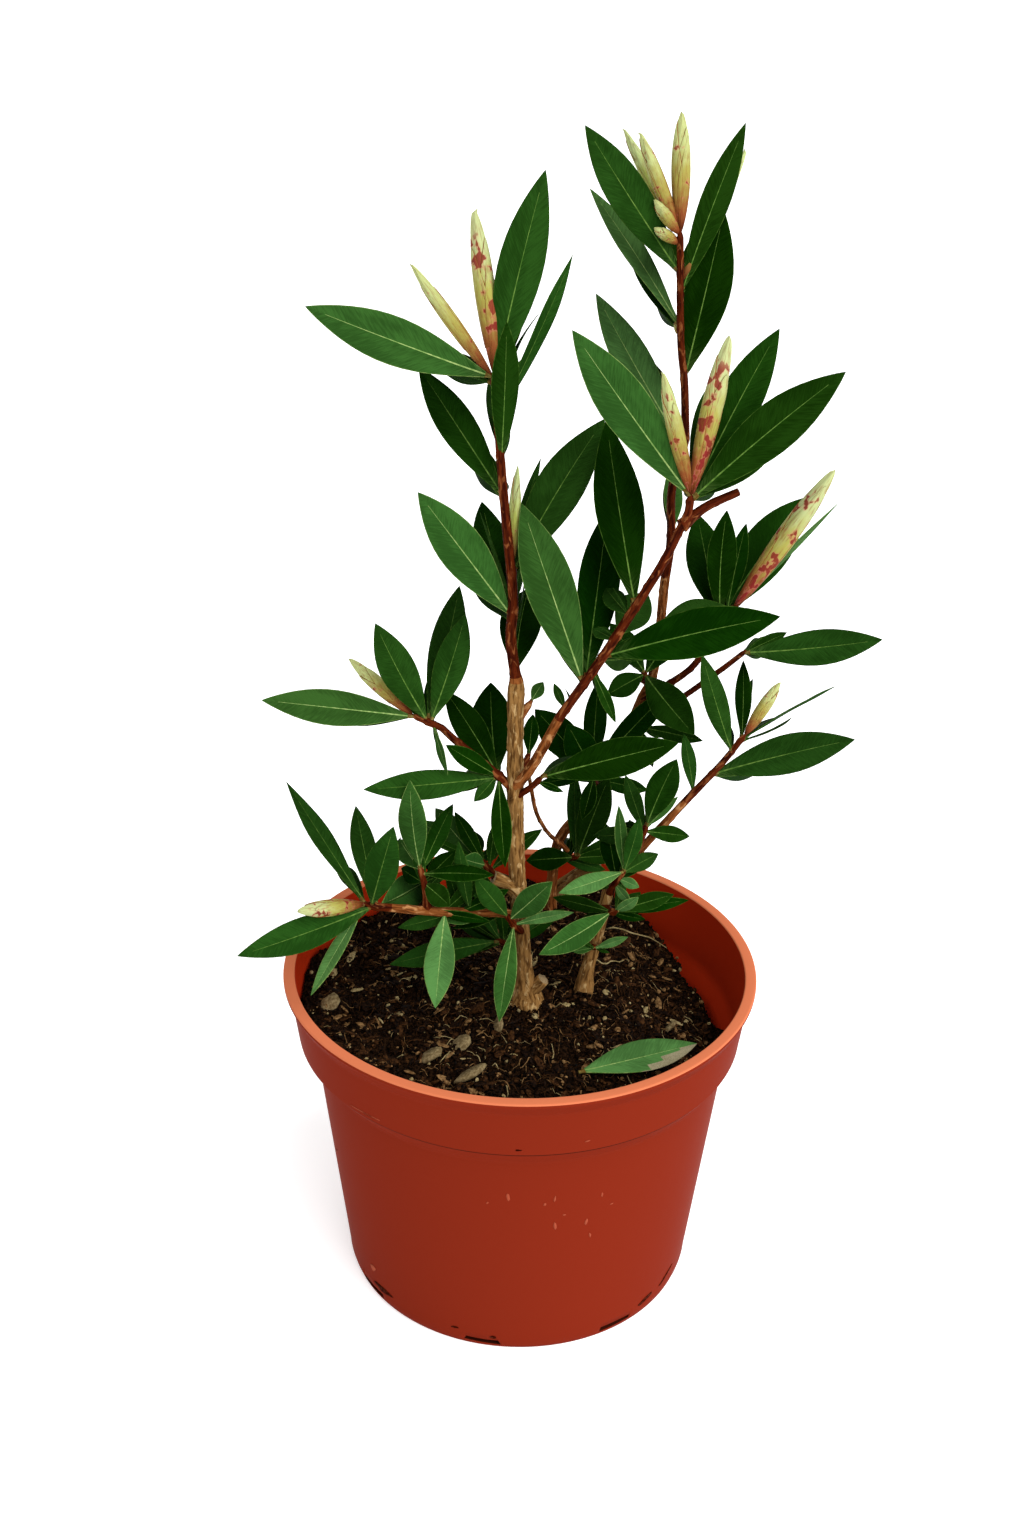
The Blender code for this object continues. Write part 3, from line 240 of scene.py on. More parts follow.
# Leafy shoots. Each leaf is its place along the shoot, its swing like a clock hand seen from the
# front, its lean towards the viewer, its length, its width and its turn away from facing the viewer.
# A bud is the same without the turn.
MASSES = (
    Mass("leader_leaves", "trunk",
         ((-3.6, -10, 239), (-5.6, -9, 254), (-5, -8, 267), (-7, -6, 287), (-9, -4, 306), (-12, 0, 340)),
         1.9, 1.3, 7,
         ((0.98, -72, 10, 62, 15, 0), (0.97, 13, 6, 66, 14.5, 10), (0.86, 24, 0, 56, 7.5, 55),
          (0.72, 2, 38, 48, 9.2, 20), (0.61, -33, -14, 53.5, 12, 0), (0.74, -8.5, -52, 52, 6, 20),
          (0.22, -39, 20, 51.5, 15, 0), (0.24, -16, -28, 45, 13, 15), (0.24, 10, -20, 20, 6, 60),
          (0.03, 8, -45, 44, 14, 0), (0.36, 30, -2, 59, 15.5, 0), (0.37, 13, -30, 48, 4.5, 30),
          (0.37, 20.5, -24, 49, 7, 40)),
         ((0.97, -37.5, 5, 45, 4.9), (0.99, -6.5, 0, 52.5, 6.8), (0.37, 2, 5, 34.5, 4.2))),
    Mass("fork_leaves", "fork_stub", ((0.8, -9, 230.4), (1.6, -8.8, 231.8)),
         1.1, 0.9, 0,
         ((0.8, 32, 0, 7.4, 4.5, 10),)),
    Mass("fork_back_leaves", "trunk", ((-3.5, -10, 203), (-0.5, -5, 206), (1.5, -2, 209)),
         1.2, 1.0, 1,
         ((0.9, 5, 0, 14, 5.5, 0),)),
    Mass("fork_front_leaves", "trunk", ((-3.5, -10, 196), (2, -14, 202), (5.5, -15.5, 207)),
         1.2, 1.0, 0,
         ((0.95, 75, 20, 49, 13, 0), (0.8, 110, 20, 10, 3, 30))),
    Mass("front_middle_leaves", "front_bough", ((11, -19, 231), (23, -22, 252), (35, -25, 275)),
         1.6, 1.5, 3,
         ((0.28, -20, 6, 61.5, 16, 0), (0.52, 77, 14, 58, 15.5, 0), (0.66, -57, -45, 11, 5, 20),
          (0.30, 7, -10, 59, 14, 10), (0.93, -9, -8, 62, 16, 10), (0.86, -34, -52, 20, 7, 0),
          (0.7, 35, -50, 30, 12, 0), (0.06, -24, -20, 10, 3, 0), (0.4, 155, -10, 18.5, 4, 0))),
    Mass("front_tip_leaves", "front_upper_bough", ((48.2, -27, 304.5), (48.8, -27, 310)),
         1.3, 1.2, 4,
         ((0.9, -37, 5, 62, 15.5, 0), (0.7, 50, 10, 60, 15, 0), (0.9, 27, -8, 61, 14, 10),
          (0.8, 11, -35, 50, 10, 30), (0.6, 43, -16, 58, 12, 60)),
         ((0.95, -15.5, 8, 39, 5.5), (0.98, 12.5, 0, 51, 7))),
    Mass("left_fan_leaves", "trunk", ((-3.5, -10, 199), (-7, -10, 202), (-13.5, -10, 208)),
         1.5, 1.4, 2,
         ((0.55, -33, -10, 35, 10.5, 0), (0.6, -5, -20, 34, 14.5, 0), (0.5, -60, 40, 27, 6.5, 0),
          (0.5, -96, 20, 48, 10, 0), (0.55, 175, 8, 31, 7, 0), (0.6, -140, 5, 12, 5, 0))),
    Mass("left_tip_leaves", "left_bough", ((-28, -10, 221.5), (-33, -10, 224), (-38, -10, 226)),
         1.2, 1.1, 4,
         ((0.9, -85, 10, 51, 12, 0), (0.5, -28, 32, 41, 12, 0), (0.4, 17, 0, 38, 11, 0),
          (0.5, 11, -28, 55, 12, 10), (0.3, 163, 10, 18, 5, 60)),
         ((0.97, -49.5, 0, 29, 5.4),)),
    Mass("left_stub_leaves", "left_stub", ((-9, -10, 163.8), (-13, -6, 166.5), (-17, -3.5, 169)),
         1.3, 1.0, 2,
         ((0.9, -42, -28, 26, 8.5, 0), (0.8, -60, -38, 33, 8, 10), (0.7, -66, 8, 23, 4.5, 50),
          (0.6, -72, 50, 13, 7, 0), (0.8, -17, -35, 13, 6, 0), (0.5, -91, -25, 25, 9, 0))),
    Mass("low_front_leaves", "trunk", ((-0.5, -8, 142), (-2, -13.5, 146), (-6, -17, 154)),
         1.4, 1.1, 0,
         ((0.8, 45, 42, 27, 9.5, 0), (0.6, 77, 10, 21.5, 4.2, 10), (0.9, -39, 30, 21, 8, 0),
          (0.6, -172, 26, 36, 7.5, 0))),
    Mass("trunk_foot_leaves", "trunk", ((0, -8, 131), (-5, -6, 134), (-9, -5, 136)),
         1.2, 0.9, 0,
         ((0.9, -103, 0, 40, 9, 0), (0.8, -60, -50, 30, 9, 0))),
    Mass("low_left_inner_leaves", "trunk",
         ((-1, -8, 147), (-8, -12, 151.5), (-27, -18, 155), (-35, -19.5, 156.5)),
         1.7, 1.6, 3,
         ((0.78, -176, 30, 36, 10.5, 0), (0.35, -99, 12, 17.5, 5.5, 0), (0.6, -66, -40, 18, 7, 0))),
    Mass("low_left_side_leaves", "low_left_inner_leaves",
         ((-33, -19, 156.3), (-34, -17, 165), (-35.7, -16, 172)),
         1.2, 1.0, 2,
         ((0.95, -5, 33, 36, 9.5, 0), (0.9, -40, -50, 20, 8, 0), (0.6, 130, 10, 12, 8, 10))),
    Mass("low_left_tip_leaves", "low_left_bough",
         ((-45.5, -21.5, 158.5), (-50.5, -22, 159.2), (-54.5, -22.5, 160.6)),
         1.4, 1.2, 4,
         ((0.6, -110, 22, 50.5, 11.5, 0), (0.95, -35, -14, 52, 9, 45), (0.7, 18, 48, 44, 11.5, 0),
          (0.5, -15, -28, 40, 9, 20), (0.4, 62, -55, 30, 12, 0), (0.97, -151, 12, 36, 5.5, 20)),
         ((0.97, -95, 42, 28.5, 6),)),
    Mass("right_foot_leaves", "right_stem", ((29, 2, 146), (31, -3, 147), (33, -6, 149)),
         1.5, 1.1, 1,
         ((0.6, -119, 28, 33, 9.3, 0), (0.8, 55, 30, 11.5, 5, 30), (0.7, 81.5, -16, 29, 5.4, 20))),
    Mass("right_low_leaves", "right_stem", ((25.4, 0.5, 131), (25.6, -3, 132), (25.8, -5, 132.5)),
         0.9, 0.7, 0,
         ((0.8, 69, 15, 13, 3.4, 0), (0.7, -100, 10, 8, 3, 0))),
    Mass("right_bend_leaves", "right_stem", ((30.5, 2.6, 151.5), (32, -2, 158), (35, -5, 165)),
         1.3, 1.0, 2,
         ((0.95, -107, 30, 27.5, 6.8, 10), (0.9, 62, -15, 15, 6, 0), (0.7, 112, 10, 8, 4, 0),
          (0.5, 140, 15, 9, 4, 30), (0.6, -9, -38, 25, 8, 0), (0.97, -6, 15, 24, 5, 20),
          (0.97, 14, -12, 20, 6, 0))),
    Mass("right_inner_leaves", "right_bough", ((39, 4.5, 165), (40, 1, 171), (42.5, 0, 181)),
         1.2, 1.0, 2,
         ((0.95, 20, 42, 33, 10.5, 0), (0.9, 44, 25, 17, 4, 30), (0.8, -18, -20, 22, 6, 0))),
    Mass("right_leaves", "right_bough", ((56, 6, 187), (67, 6, 201), (75, 6, 213)),
         1.35, 1.0, 4,
         ((0.42, 75, 25, 52, 13.5, 0), (0.9, 60, -18, 42, 7.5, 82), (0.75, -22, 35, 42, 8.5, 10),
          (0.93, 6, -40, 37.5, 6, 0), (0.12, -10, 0, 21, 5.5, 20)),
         ((0.98, 34, 0, 22.5, 4.8),)),
    Mass("back_foot_leaves", "back_stem", ((12.6, 55.5, 136), (17, 50, 138), (21, 47, 141)),
         1.3, 1.0, 2,
         ((0.95, 19, 20, 34.5, 11.5, 0), (0.8, -95, 0, 18, 9, 0), (0.9, -3, 15, 34, 6, 0))),
    Mass("back_low_leaves", "back_stem", ((28, 49.5, 169), (26, 44, 175), (24.5, 40, 181)),
         1.3, 1.0, 3,
         ((0.95, 42, 15, 43, 9, 0), (0.9, 3, 0, 34, 8.5, 0), (0.8, -29, 10, 21, 12, 0),
          (0.9, -43, -12, 32, 13, 0), (0.7, -165, 15, 17, 6, 0))),
    Mass("back_side_leaves", "back_stem", ((37.5, 45.5, 195), (40, 40, 198), (42, 38, 200)),
         1.1, 0.9, 1,
         ((0.9, 102, 8, 23, 6, 20), (0.8, 160, 20, 16, 5, 20))),
    Mass("back_high_leaves", "back_stem", ((43.6, 43, 215), (41, 37, 219), (42, 34, 223)),
         1.2, 1.0, 3,
         ((0.9, -120, 10, 15.5, 8.5, 0), (0.9, 142, 25, 30, 13, 0), (0.95, -35, -10, 22, 9, 0),
          (0.9, 30, -20, 26, 10, 0))),
    Mass("side_leaves", "side_bough", ((69, 32, 226), (76, 30, 233.5)),
         1.0, 0.9, 3,
         ((0.9, 84.5, 15, 48, 12.5, 0), (0.9, 64, -25, 20, 5, 20))),
    Mass("upper_right_leaves", "upper_right_bough", ((64, 31, 237), (66, 29, 246), (71, 28, 250.4)),
         1.1, 1.1, 4,
         ((0.93, 44, 5, 51, 7, 72), (0.6, 35, -16, 56, 17, 0), (0.8, 13, -30, 38, 7, 0),
          (0.55, -10.5, -15, 40, 14, 0), (0.6, 2, 10, 37, 11, 15), (0.97, -99, 0, 24, 10, 10)),
         ((0.97, 35, 10, 58.5, 7.6),)),
    Mass("back_middle_leaves", "back_stem",
         ((47.5, 38, 258), (48.6, 37, 271.4), (48, 36, 290), (51.6, 35, 308)),
         1.6, 1.4, 5,
         ((0.93, -28.5, -10, 62.5, 13, 10), (0.3, 3, -28, 31, 8, 30))),
    Mass("tall_leaves", "back_middle_leaves",
         ((51.6, 35, 308), (50, 34, 328), (48, 34, 343), (46, 32, 377)),
         1.4, 1.1, 6,
         ((0.80, -35.5, 10, 55, 13.5, 0), (0.54, -32.5, -6, 56, 8.5, 20), (0.7, 20, 3, 58.5, 10, 15),
          (0.3, 12, 14, 54.5, 16, 0)),
         ((0.99, -0.5, 0, 39, 6.4), (0.98, -24.5, 5, 35, 5), (0.97, -24.5, -22, 48, 4.6),
          (0.76, 24, -18, 57, 6), (0.98, -40, 8, 14, 4.5), (0.94, -62, 12, 10, 4), (0.5, -20, 8, 5.5, 2.6))),
)

STEMS = {stem.name: stem for stem in LIMBS + MASSES}

# A dropped leaf that lies on the soil at the front right: root, tip and width
FALLEN_LEAF = ((22, -52), (59, -36), 13)
FALLEN_TILT = 14
FALLEN_ROLL = 18                    # how far the fine leaf is turned from the solid's tilt
FALLEN_LIFT = 1.5 * MM
FALLEN_STALK = 0.07                 # reach of its fine stalk behind the root, as a share of its length
FALLEN_SIZE = (1.12, 1.25)          # length and width of the fine leaf, as shares of the table's
FALLEN_TONE = 4
DRY_FROM = (0.8, 0.64, 0.5, 0.4)    # where its dry part starts, from the midrib to the margin

# Tones of the shown leaves: a digit for each leaf of a shoot, from 0 for the deepest green to 5
LEAF_TONES = {
    "leader_leaves": "3221123130222", "fork_leaves": "3", "fork_back_leaves": "0", "fork_front_leaves": "00",
    "front_middle_leaves": "302002221", "front_tip_leaves": "31121", "left_fan_leaves": "000202",
    "left_tip_leaves": "32223", "left_stub_leaves": "331311", "low_front_leaves": "3423",
    "trunk_foot_leaves": "22", "low_left_inner_leaves": "432", "low_left_side_leaves": "331",
    "low_left_tip_leaves": "222234", "right_foot_leaves": "340", "right_low_leaves": "43",
    "right_bend_leaves": "4244032", "right_inner_leaves": "132", "right_leaves": "22202",
    "back_foot_leaves": "102", "back_low_leaves": "00000", "back_side_leaves": "11",
    "back_high_leaves": "1110", "side_leaves": "21", "upper_right_leaves": "410102",
    "back_middle_leaves": "43", "tall_leaves": "2410"}
FILL_TONE = 1
FILL_SLIM = 0.65                    # width of a fine fill leaf, as a share of its solid's
FINER_LEAVES = {"trunk_foot_leaves": 14, "low_left_inner_leaves": 16, "low_left_side_leaves": 8,
                "back_foot_leaves": 16, "back_low_leaves": 10, "right_foot_leaves": 10,
                "right_low_leaves": 8, "right_bend_leaves": 10, "right_inner_leaves": 8,
                "left_stub_leaves": 8}               # tries for small leaves on the low shoots
UPRIGHT_LEAVES = 2                  # tries for upright leaves behind each shown leaf, seen from the sides
UPRIGHT_LEAN = (-74, -40)
UPRIGHT_TURN = (62, 100)
UPRIGHT_COVER = 0.86                # of the depth left behind the root
FINER_REACH = (0.1, 0.95)
FINER_LENGTH = (0.45, 0.8)
FINER_SWING = (-110, 110)
FINER_LEAN = (-72, -8)
DEEP_TONES = (0, 1, 2)
LIGHT_TONE = 3                      # from here on a leaf's midrib and margin are bright
LEAF_GREENS = ((20, 48, 8), (28, 57, 15), (38, 71, 25), (52, 89, 38), (78, 119, 62), (104, 142, 84))
LEAF_FINISHES = [f"green_{k}" for k in range(len(LEAF_GREENS))]
LEAF_FINISHES += ["under", "rib_dark", "rib_light", "edge_dark", "edge_light", "stalk", "dry"]
TINT = {name: k for k, name in enumerate(LEAF_FINISHES)}

# Bark: how young each limb's bark is, from tan and furrowed at 0 to red and smooth at 1
TAN_LIMBS = ("trunk", "right_stem", "pruned_stub", "left_stub", "foot_stub")
YOUTH = {"trunk": 0.0, "pruned_stub": 0.0, "left_stub": 0.0, "foot_stub": 0.0, "right_stem": 0.2,
         "fork_stub": 0.4, "back_stem": 0.5, "arch_twig": 0.5, "right_bough": 0.5,
         "low_left_inner_leaves": 0.5, "low_left_bough": 0.5, "front_bough": 0.64}
STEM_FINISHES = ["bark_tan", "bark_brown", "bark_red", "cut_wood"]
BROWN_FROM = 0.34                   # youth from which the bark is brown
RED_FROM = 0.67
BARK_RELIEF = 0.34 * MM
FINE_SAMPLES = 24
GROWN_STEMS = ("trunk", "right_stem", "back_stem")      # stems in the soil; each one's leaves are a piece

# Fine buds: a slim core and a few long bracts
BUD_FINISHES = ["bud", "bud_blotched", "bud_green", "bud_edge"]
BUD_KINDS = {("leader_leaves", 1): 1, ("leader_leaves", 2): 2, ("upper_right_leaves", 0): 1,
             ("low_left_tip_leaves", 0): 1, ("front_tip_leaves", 1): 1,
             ("tall_leaves", 2): 2, ("tall_leaves", 3): 2}
BUD_BLUNT = (0.35, 0.6, 0.3, 0)     # how blunt a bud of each finish is
BUD_RINGS = 26
BUD_FINE_SIDES = 24
BUD_TRIM = 0.3 * MM                 # taken off the core, so that the bracts lie within the bud's width
BUD_LEAN = (-0.03, 0.03)
BRACTS = 4
BRACT_FOOT = 0.02                   # where the lowest bract starts, as a share of the bud's length
BRACT_STEP = 0.13                   # from each bract to the next
BRACT_TURN = 2.1                    # the same round the bud, in radians
BRACT_END = 0.95
BRACT_SHORTER = (0.0, 0.22)
BRACT_SPREAD = 1.5                  # half width at its widest, in radians
BRACT_ROWS = 16
BRACT_COLUMNS = (-1, -0.93, -0.45, 0, 0.45, 0.93, 1)
BRACT_LIFT = 0.28 * MM
BRACT_DEPTH = 0.15 * MM

# Marks on the pot: turn from the front, height, length, width, slant, and 0 for a scuff or 1 for a nick
DRAIN_JITTER = 0.7 * MM
MARK_SIDES = 11
MARK_RAGGED = (0.6, 1.0)
MARK_RISE = 0.06 * MM
POT_MARKS = ((-41, 100.8, 18, 0.7, 2, 0), (-0.5, 101.3, 2.6, 0.8, 0, 1), (16.2, 103.3, 2.2, 0.7, 10, 0),
             (7, 72.4, 1.6, 1.1, 70, 0), (12.5, 66.5, 1.5, 0.8, 0, 0), (-8.6, 72.5, 1.4, 1.0, 30, 0),
             (26.5, 66.9, 1.6, 0.7, 10, 0), (-3, 76.1, 1.4, 4.6, 8, 0), (9.6, 74.7, 0.9, 3.2, -6, 0),
             (10.1, 61.7, 1.2, 4.4, 10, 0), (19.1, 61.2, 1.1, 3.8, -8, 0), (20.7, 54.3, 0.9, 3, 12, 0),
             (23.1, 72.6, 0.8, 2.6, 0, 0), (-54, 14.5, 4.5, 3.2, 30, 0), (-50, 7.2, 13, 3.4, 0, 1),
             (58, 9, 12, 1.5, 25, 1), (-70.3, 56.7, 1.4, 0.8, 90, 1), (-20, 7, 4.2, 1.2, 8, 1),
             (-7.5, 5.4, 3.2, 1.8, 5, 1), (47, 6.5, 9, 2.4, 12, 1))

# Soil litter: places as x and y, and sizes, in millimetres. A named chip also has its turn and finish.
LITTER_FINISHES = ["litter_dark", "litter_brown", "litter_tan", "litter_pale", "litter_chip"]
CLOD_RISE = 1.5 * MM
GRIT_RISE = 0.7 * MM
SOIL_RAGGED = 1.8 * MM
CRUMBS = 7000
CRUMB_MARGIN = 1.5 * MM
CRUMB_MIX = (78, 13, 6, 3)          # how often each of the finishes comes
CRUMB_SIZE = 1.2                    # greatest radius
CRUMB_SPREAD = (0.35, 1.0)          # its square scales the radius, so that most crumbs are small
CRUMB_ROUGH = 0.45                  # how far a crumb is pushed out of round
CRUMB_SHAPE = (1, 0.75, 0.7)
FIBRES = 1300
FIBRE_MARGIN = 7 * MM
FIBRE_MIX = (0, 62, 29, 9)
FIBRE_STEPS = 7
FIBRE_LENGTH = (2, 8)
FIBRE_RADIUS = (0.1, 0.26)
FIBRE_CURL = (-1.6, 1.6)            # whole turn along a fibre, in radians
FIBRE_KINK = (-0.25, 0.25)          # turn at each step
FIBRE_ARCH = (0, 1.4)               # rise of its middle
FIBRE_LIFT = 0.1 * MM
CHIPS = 1700
CHIP_MARGIN = 4 * MM
CHIP_MIX = (52, 33, 12, 3)
CHIP_SIZE = ((1.4, 7.5), (0.6, 3.2), (0.2, 0.5))        # length, width and thickness
CHIP_TILT = (-0.6, 0.6)
CHIP_LEAN = (-0.3, 0.3)
CHIP_RAGGED = (0.75, 1.05)
CHIP_BEND = 1.2                     # rise of its ends, as a share of its thickness
CHIP_LIFT = 0.4 * MM
CHIP_SIDES = 9
CHIP_RINGS = ((0.94, -0.5), (1, 0), (0.9, 0.5))         # reach and height of its outline
GRAIN_SPREAD = 90                   # how far apart the grain of two pieces may lie
ROOT_LINES = (((32, 45), (54, 36), 0.45), ((26, 16), (38, 24), 0.4))
ROOT_CURL = 0.2
ROOT_LIFT = 0.8 * MM
NAMED_CHIPS = (((-68, -12.5), (8, 7), 40, 4), ((-21, -37), (8, 7.5), 20, 4), ((-31, -44), (9.5, 6), 10, 4),
               ((-17, -54), (14, 7), 15, 4), ((-8, -26), (5, 4), 60, 4), ((53, -14), (5.5, 3.6), 0, 4),
               ((63, -23), (9, 2.2), 20, 3), ((-16, -15), (8, 5), -15, 1))
NAMED_THICKNESS = 1.5
NAMED_TILT = 0.1
NAMED_LIFT = 2 * MM

# How strongly each kind of surface mirrors, from 0 to 1; low, as the sky round it is bright
LEAF_SHINE = 0.001
POT_SHINE = 0.003
BARK_SHINE = 0.02
INSIDE_SHINE = 0.02
BUD_SHINE = 0.03
EARTH_SHINE = 0.03
FLOOR_SHINE = 0.1
WOOD_SHINE = 0.2

# Stage
FLOOR_REACH = 12.0
FLOOR_GLOW = 0.40                   # the floor is a lit table, so that it stays white under the pot
SUN_STRENGTH = 3.8
SUN_SPREAD = 70
SUN_FROM = (0.9, -0.75, 1.1)
SKY_STRENGTH = 0.74
DIMMED = 0.60                       # share of each named colour, as the stage is lit to whiten the floor


def turns(count):
    """Angles of equal steps round a circle."""
    return [2 * math.pi * k / count for k in range(count)]


def around(radius, turn, height=0.0):
    """A point at a radius, an angle and a height about the pot's axis."""
    return Vector((radius * math.cos(turn), radius * math.sin(turn), height))


def smooth_step(value):
    value = max(0.0, min(1.0, value))
    return value * value * (3 - 2 * value)


def loft(rings, tip=None):
    """Join equal rings of points into a closed form that ends on a point, or on its last ring.

    The faces are those between the rings, then the first ring, then the end.
    """
    size = len(rings[0])
    top = (len(rings) - 1) * size
    points = [p for ring in rings for p in ring]
    faces = []
    for row in range(0, top, size):
        for i in range(size):
            j = (i + 1) % size
            faces.append((row + i, row + j, row + size + j, row + size + i))
    faces.append(tuple(reversed(range(size))))
    if tip is None:
        faces.append(tuple(range(top, top + size)))
    else:
        points.append(tip)
        faces.extend((top + i, top + (i + 1) % size, len(points) - 1) for i in range(size))
    return points, faces


def smooth_route(route, samples=SAMPLES):
    """Points in metres along a smooth curve through a route given in millimetres."""
    knots = [Vector(p) * MM for p in route]
    knots = [2 * knots[0] - knots[1]] + knots + [2 * knots[-1] - knots[-2]]
    points = []
    for a, b, c, d in zip(knots, knots[1:], knots[2:], knots[3:]):
        for step in range(samples):
            t = step / samples
            points.append(0.5 * (2 * b + (c - a) * t + (2 * a - 5 * b + 4 * c - d) * t * t
                                 + (3 * b - a - 3 * c + d) * t ** 3))
    return points + [knots[-2]]


def along(points, share):
    """The point at a share of a route's length."""
    spans = [(b - a).length for a, b in zip(points, points[1:])]
    left = share * sum(spans)
    for span, a, b in zip(spans, points, points[1:]):
        if left <= span or b is points[-1]:
            return a.lerp(b, left / span)
        left -= span


def route_line(stem, samples=SAMPLES):
    """Points along a stem and its radius at each: an even taper, with the flare over the foot."""
    points = smooth_route(stem.route, samples)
    sizes = []
    for k, point in enumerate(points):
        share = k / (len(points) - 1)
        spread = max(0.0, 1 - max(0.0, point.z - SOIL_LEVEL) / FLARE_HEIGHT) ** 2
        sizes.append((stem.foot + (stem.tip - stem.foot) * share + stem.flare * spread) * MM)
    return points, sizes


def in_scene(name, data):
    """A new object in the scene."""
    made = bpy.data.objects.new(name, data)
    bpy.context.scene.collection.objects.link(made)
    return made


def evaluated_mesh(piece):
    graph = bpy.context.evaluated_depsgraph_get()
    return bpy.data.meshes.new_from_object(piece.evaluated_get(graph))


def mesh_form(mesh):
    return [v.co.copy() for v in mesh.vertices], [tuple(f.vertices) for f in mesh.polygons]


def tube_form(stem):
    """The solid's own coarse tube, as points and faces, for the test of clear room."""
    points, sizes = route_line(stem)
    curve = bpy.data.curves.new("rail", "CURVE")
    curve.dimensions = "3D"
    curve.bevel_depth = MM
    curve.bevel_resolution = BOUGH_RESOLUTION if isinstance(stem, Limb) else SHOOT_RESOLUTION
    if stem.name == "trunk":
        curve.bevel_resolution = TRUNK_RESOLUTION
    curve.use_fill_caps = True
    spline = curve.splines.new("POLY")
    spline.points.add(len(points) - 1)
    for knot, place, size in zip(spline.points, points, sizes):
        knot.co = (*place, 1)
        knot.radius = size / MM
    rail = in_scene("rail", curve)
    mesh = evaluated_mesh(rail)
    bpy.data.objects.remove(rail)
    form = bmesh.new()
    form.from_mesh(mesh)
    bmesh.ops.remove_doubles(form, verts=form.verts, dist=WELD)
    bmesh.ops.recalc_face_normals(form, faces=form.faces)
    form.to_mesh(mesh)
    form.free()
    return mesh_form(mesh)


def heading(swing, lean, near=NEAR):
    """Direction of a leaf from its clock angle seen from the front and its lean to the viewer."""
    swing, lean = math.radians(swing), math.radians(lean)
    flat = SIDE * math.sin(swing) + RISE * math.cos(swing)
    return (flat * math.cos(lean) + near * math.sin(lean)).normalized()


def blade_axes(direction, turn):
    """The blade's face and width directions: it faces the viewer, turned about its own line."""
    toward = NEAR if abs(direction.dot(NEAR)) < END_ON else RISE
    face = (toward - direction * toward.dot(direction)).normalized()
    face.rotate(Quaternion(direction, math.radians(turn)))
    return face, direction.cross(face)


def blade_width(share):
    """Half width of a blade along its length, as a share of the greatest."""
    return math.sin(math.pi * share ** BLADE_SKEW) ** BLADE_FULLNESS if 0 < share < 1 else 0.0


def blade(root, direction, length, width, turn, bow, grow=0.0, start=0.0):
    """A solid leaf: a thin blade with a keel underneath, from its root in the stem to its point."""
    face, across = blade_axes(direction, turn)
    rings = []
    for share in [s for s in LEAF_STATIONS if s >= start]:
        centre = root + direction * (length * share) + face * (bow * length * 4 * share * (1 - share))
        half = max(PETIOLE, width / 2 * blade_width(share)) + grow
        top = face * (LEAF_THICKNESS / 3 + grow)
        keel = face * (LEAF_THICKNESS * 2 / 3 + grow * 2)
        rings.append((centre - across * half + top, centre - keel, centre + across * half + top))
    return loft(rings, root + direction * (length + grow))


def bud_form(root, direction, length, width):
    """A solid bud with its clearance: a closed spindle of a few sides."""
    face, across = blade_axes(direction, 0)
    rings = []
    for share, size in BUD_PROFILE:
        centre = root + direction * (length * share)
        reach = width / 2 * size + GAP
        rings.append([centre + (across * math.cos(t) + face * math.sin(t)) * reach
                      for t in turns(BUD_SIDES)])
    return loft(rings, root + direction * (length + GAP))


class Crown:
    """Everything placed so far, so that a new leaf can be kept clear of it."""

    def __init__(self):
        self.trees = []

    def add(self, owner, form, sheathed=False):
        self.trees.append((owner, sheathed, BVHTree.FromPolygons(*form), *self.ball(form[0])))

    def ball(self, points):
        """Middle and reach of a form, for a quick test of distance."""
        centre = sum(points, Vector()) / len(points)
        return centre, max((p - centre).length for p in points)

    def meets(self, owner, whole, tip_part):
        """Whether a leaf touches another node, or its blade another blade of its own node."""
        centre, reach = self.ball(whole[0])
        whole_tree = BVHTree.FromPolygons(*whole)
        tip_tree = BVHTree.FromPolygons(*tip_part)
        for other, sheathed, tree, middle, size in self.trees:
            if (middle - centre).length > reach + size:
                continue
            if other != owner and not sheathed and whole_tree.overlap(tree):
                return True
            if other == owner and sheathed and tip_tree.overlap(tree):
                return True
        return False


def settle(crown, mass, root, row, bow, near):
    """Find clear room for one leaf as the solids do; None when there is none."""
    swing, lean, length, width, turn = row
    low, high = LEAN_LIMITS
    for nudge in NUDGES:
        tilt = max(low, min(high, lean + nudge))
        stretch = min(STRETCH_LIMIT, math.cos(math.radians(lean)) / math.cos(math.radians(tilt)))
        shape = (root, heading(swing, tilt, near), length * stretch * MM, width * MM, turn, bow)
        whole = blade(*shape, grow=GAP)
        tip_part = blade(*shape, grow=GAP / 2, start=SHEATH)
        if not crown.meets(mass.name, whole, tip_part):
            crown.add(mass.name, blade(*shape))
            crown.add(mass.name, blade(*shape, start=SHEATH), sheathed=True)
            return shape
    return None


def height_in_view(row):
    """Length of a leaf as the front view shows it."""
    return row[3] * math.cos(math.radians(row[2]))


def face_in_view(row):
    return height_in_view(row) * row[4] * math.cos(math.radians(row[5]))


def place_behind(front, spine, seed):
    """A leaf's root near that of the shown leaf that it stands behind."""
    low, high = FILL_REACH
    return along(spine, max(low, min(high, front[0] + seed.uniform(*FILL_SHIFT))))


def shown_rows(mass, spine, seed):
    """The leaves that the front view shows, each with its tone."""
    for (at, *row), tone in zip(mass.leaves, LEAF_TONES[mass.name]):
        yield along(spine, at), row, int(tone), NEAR


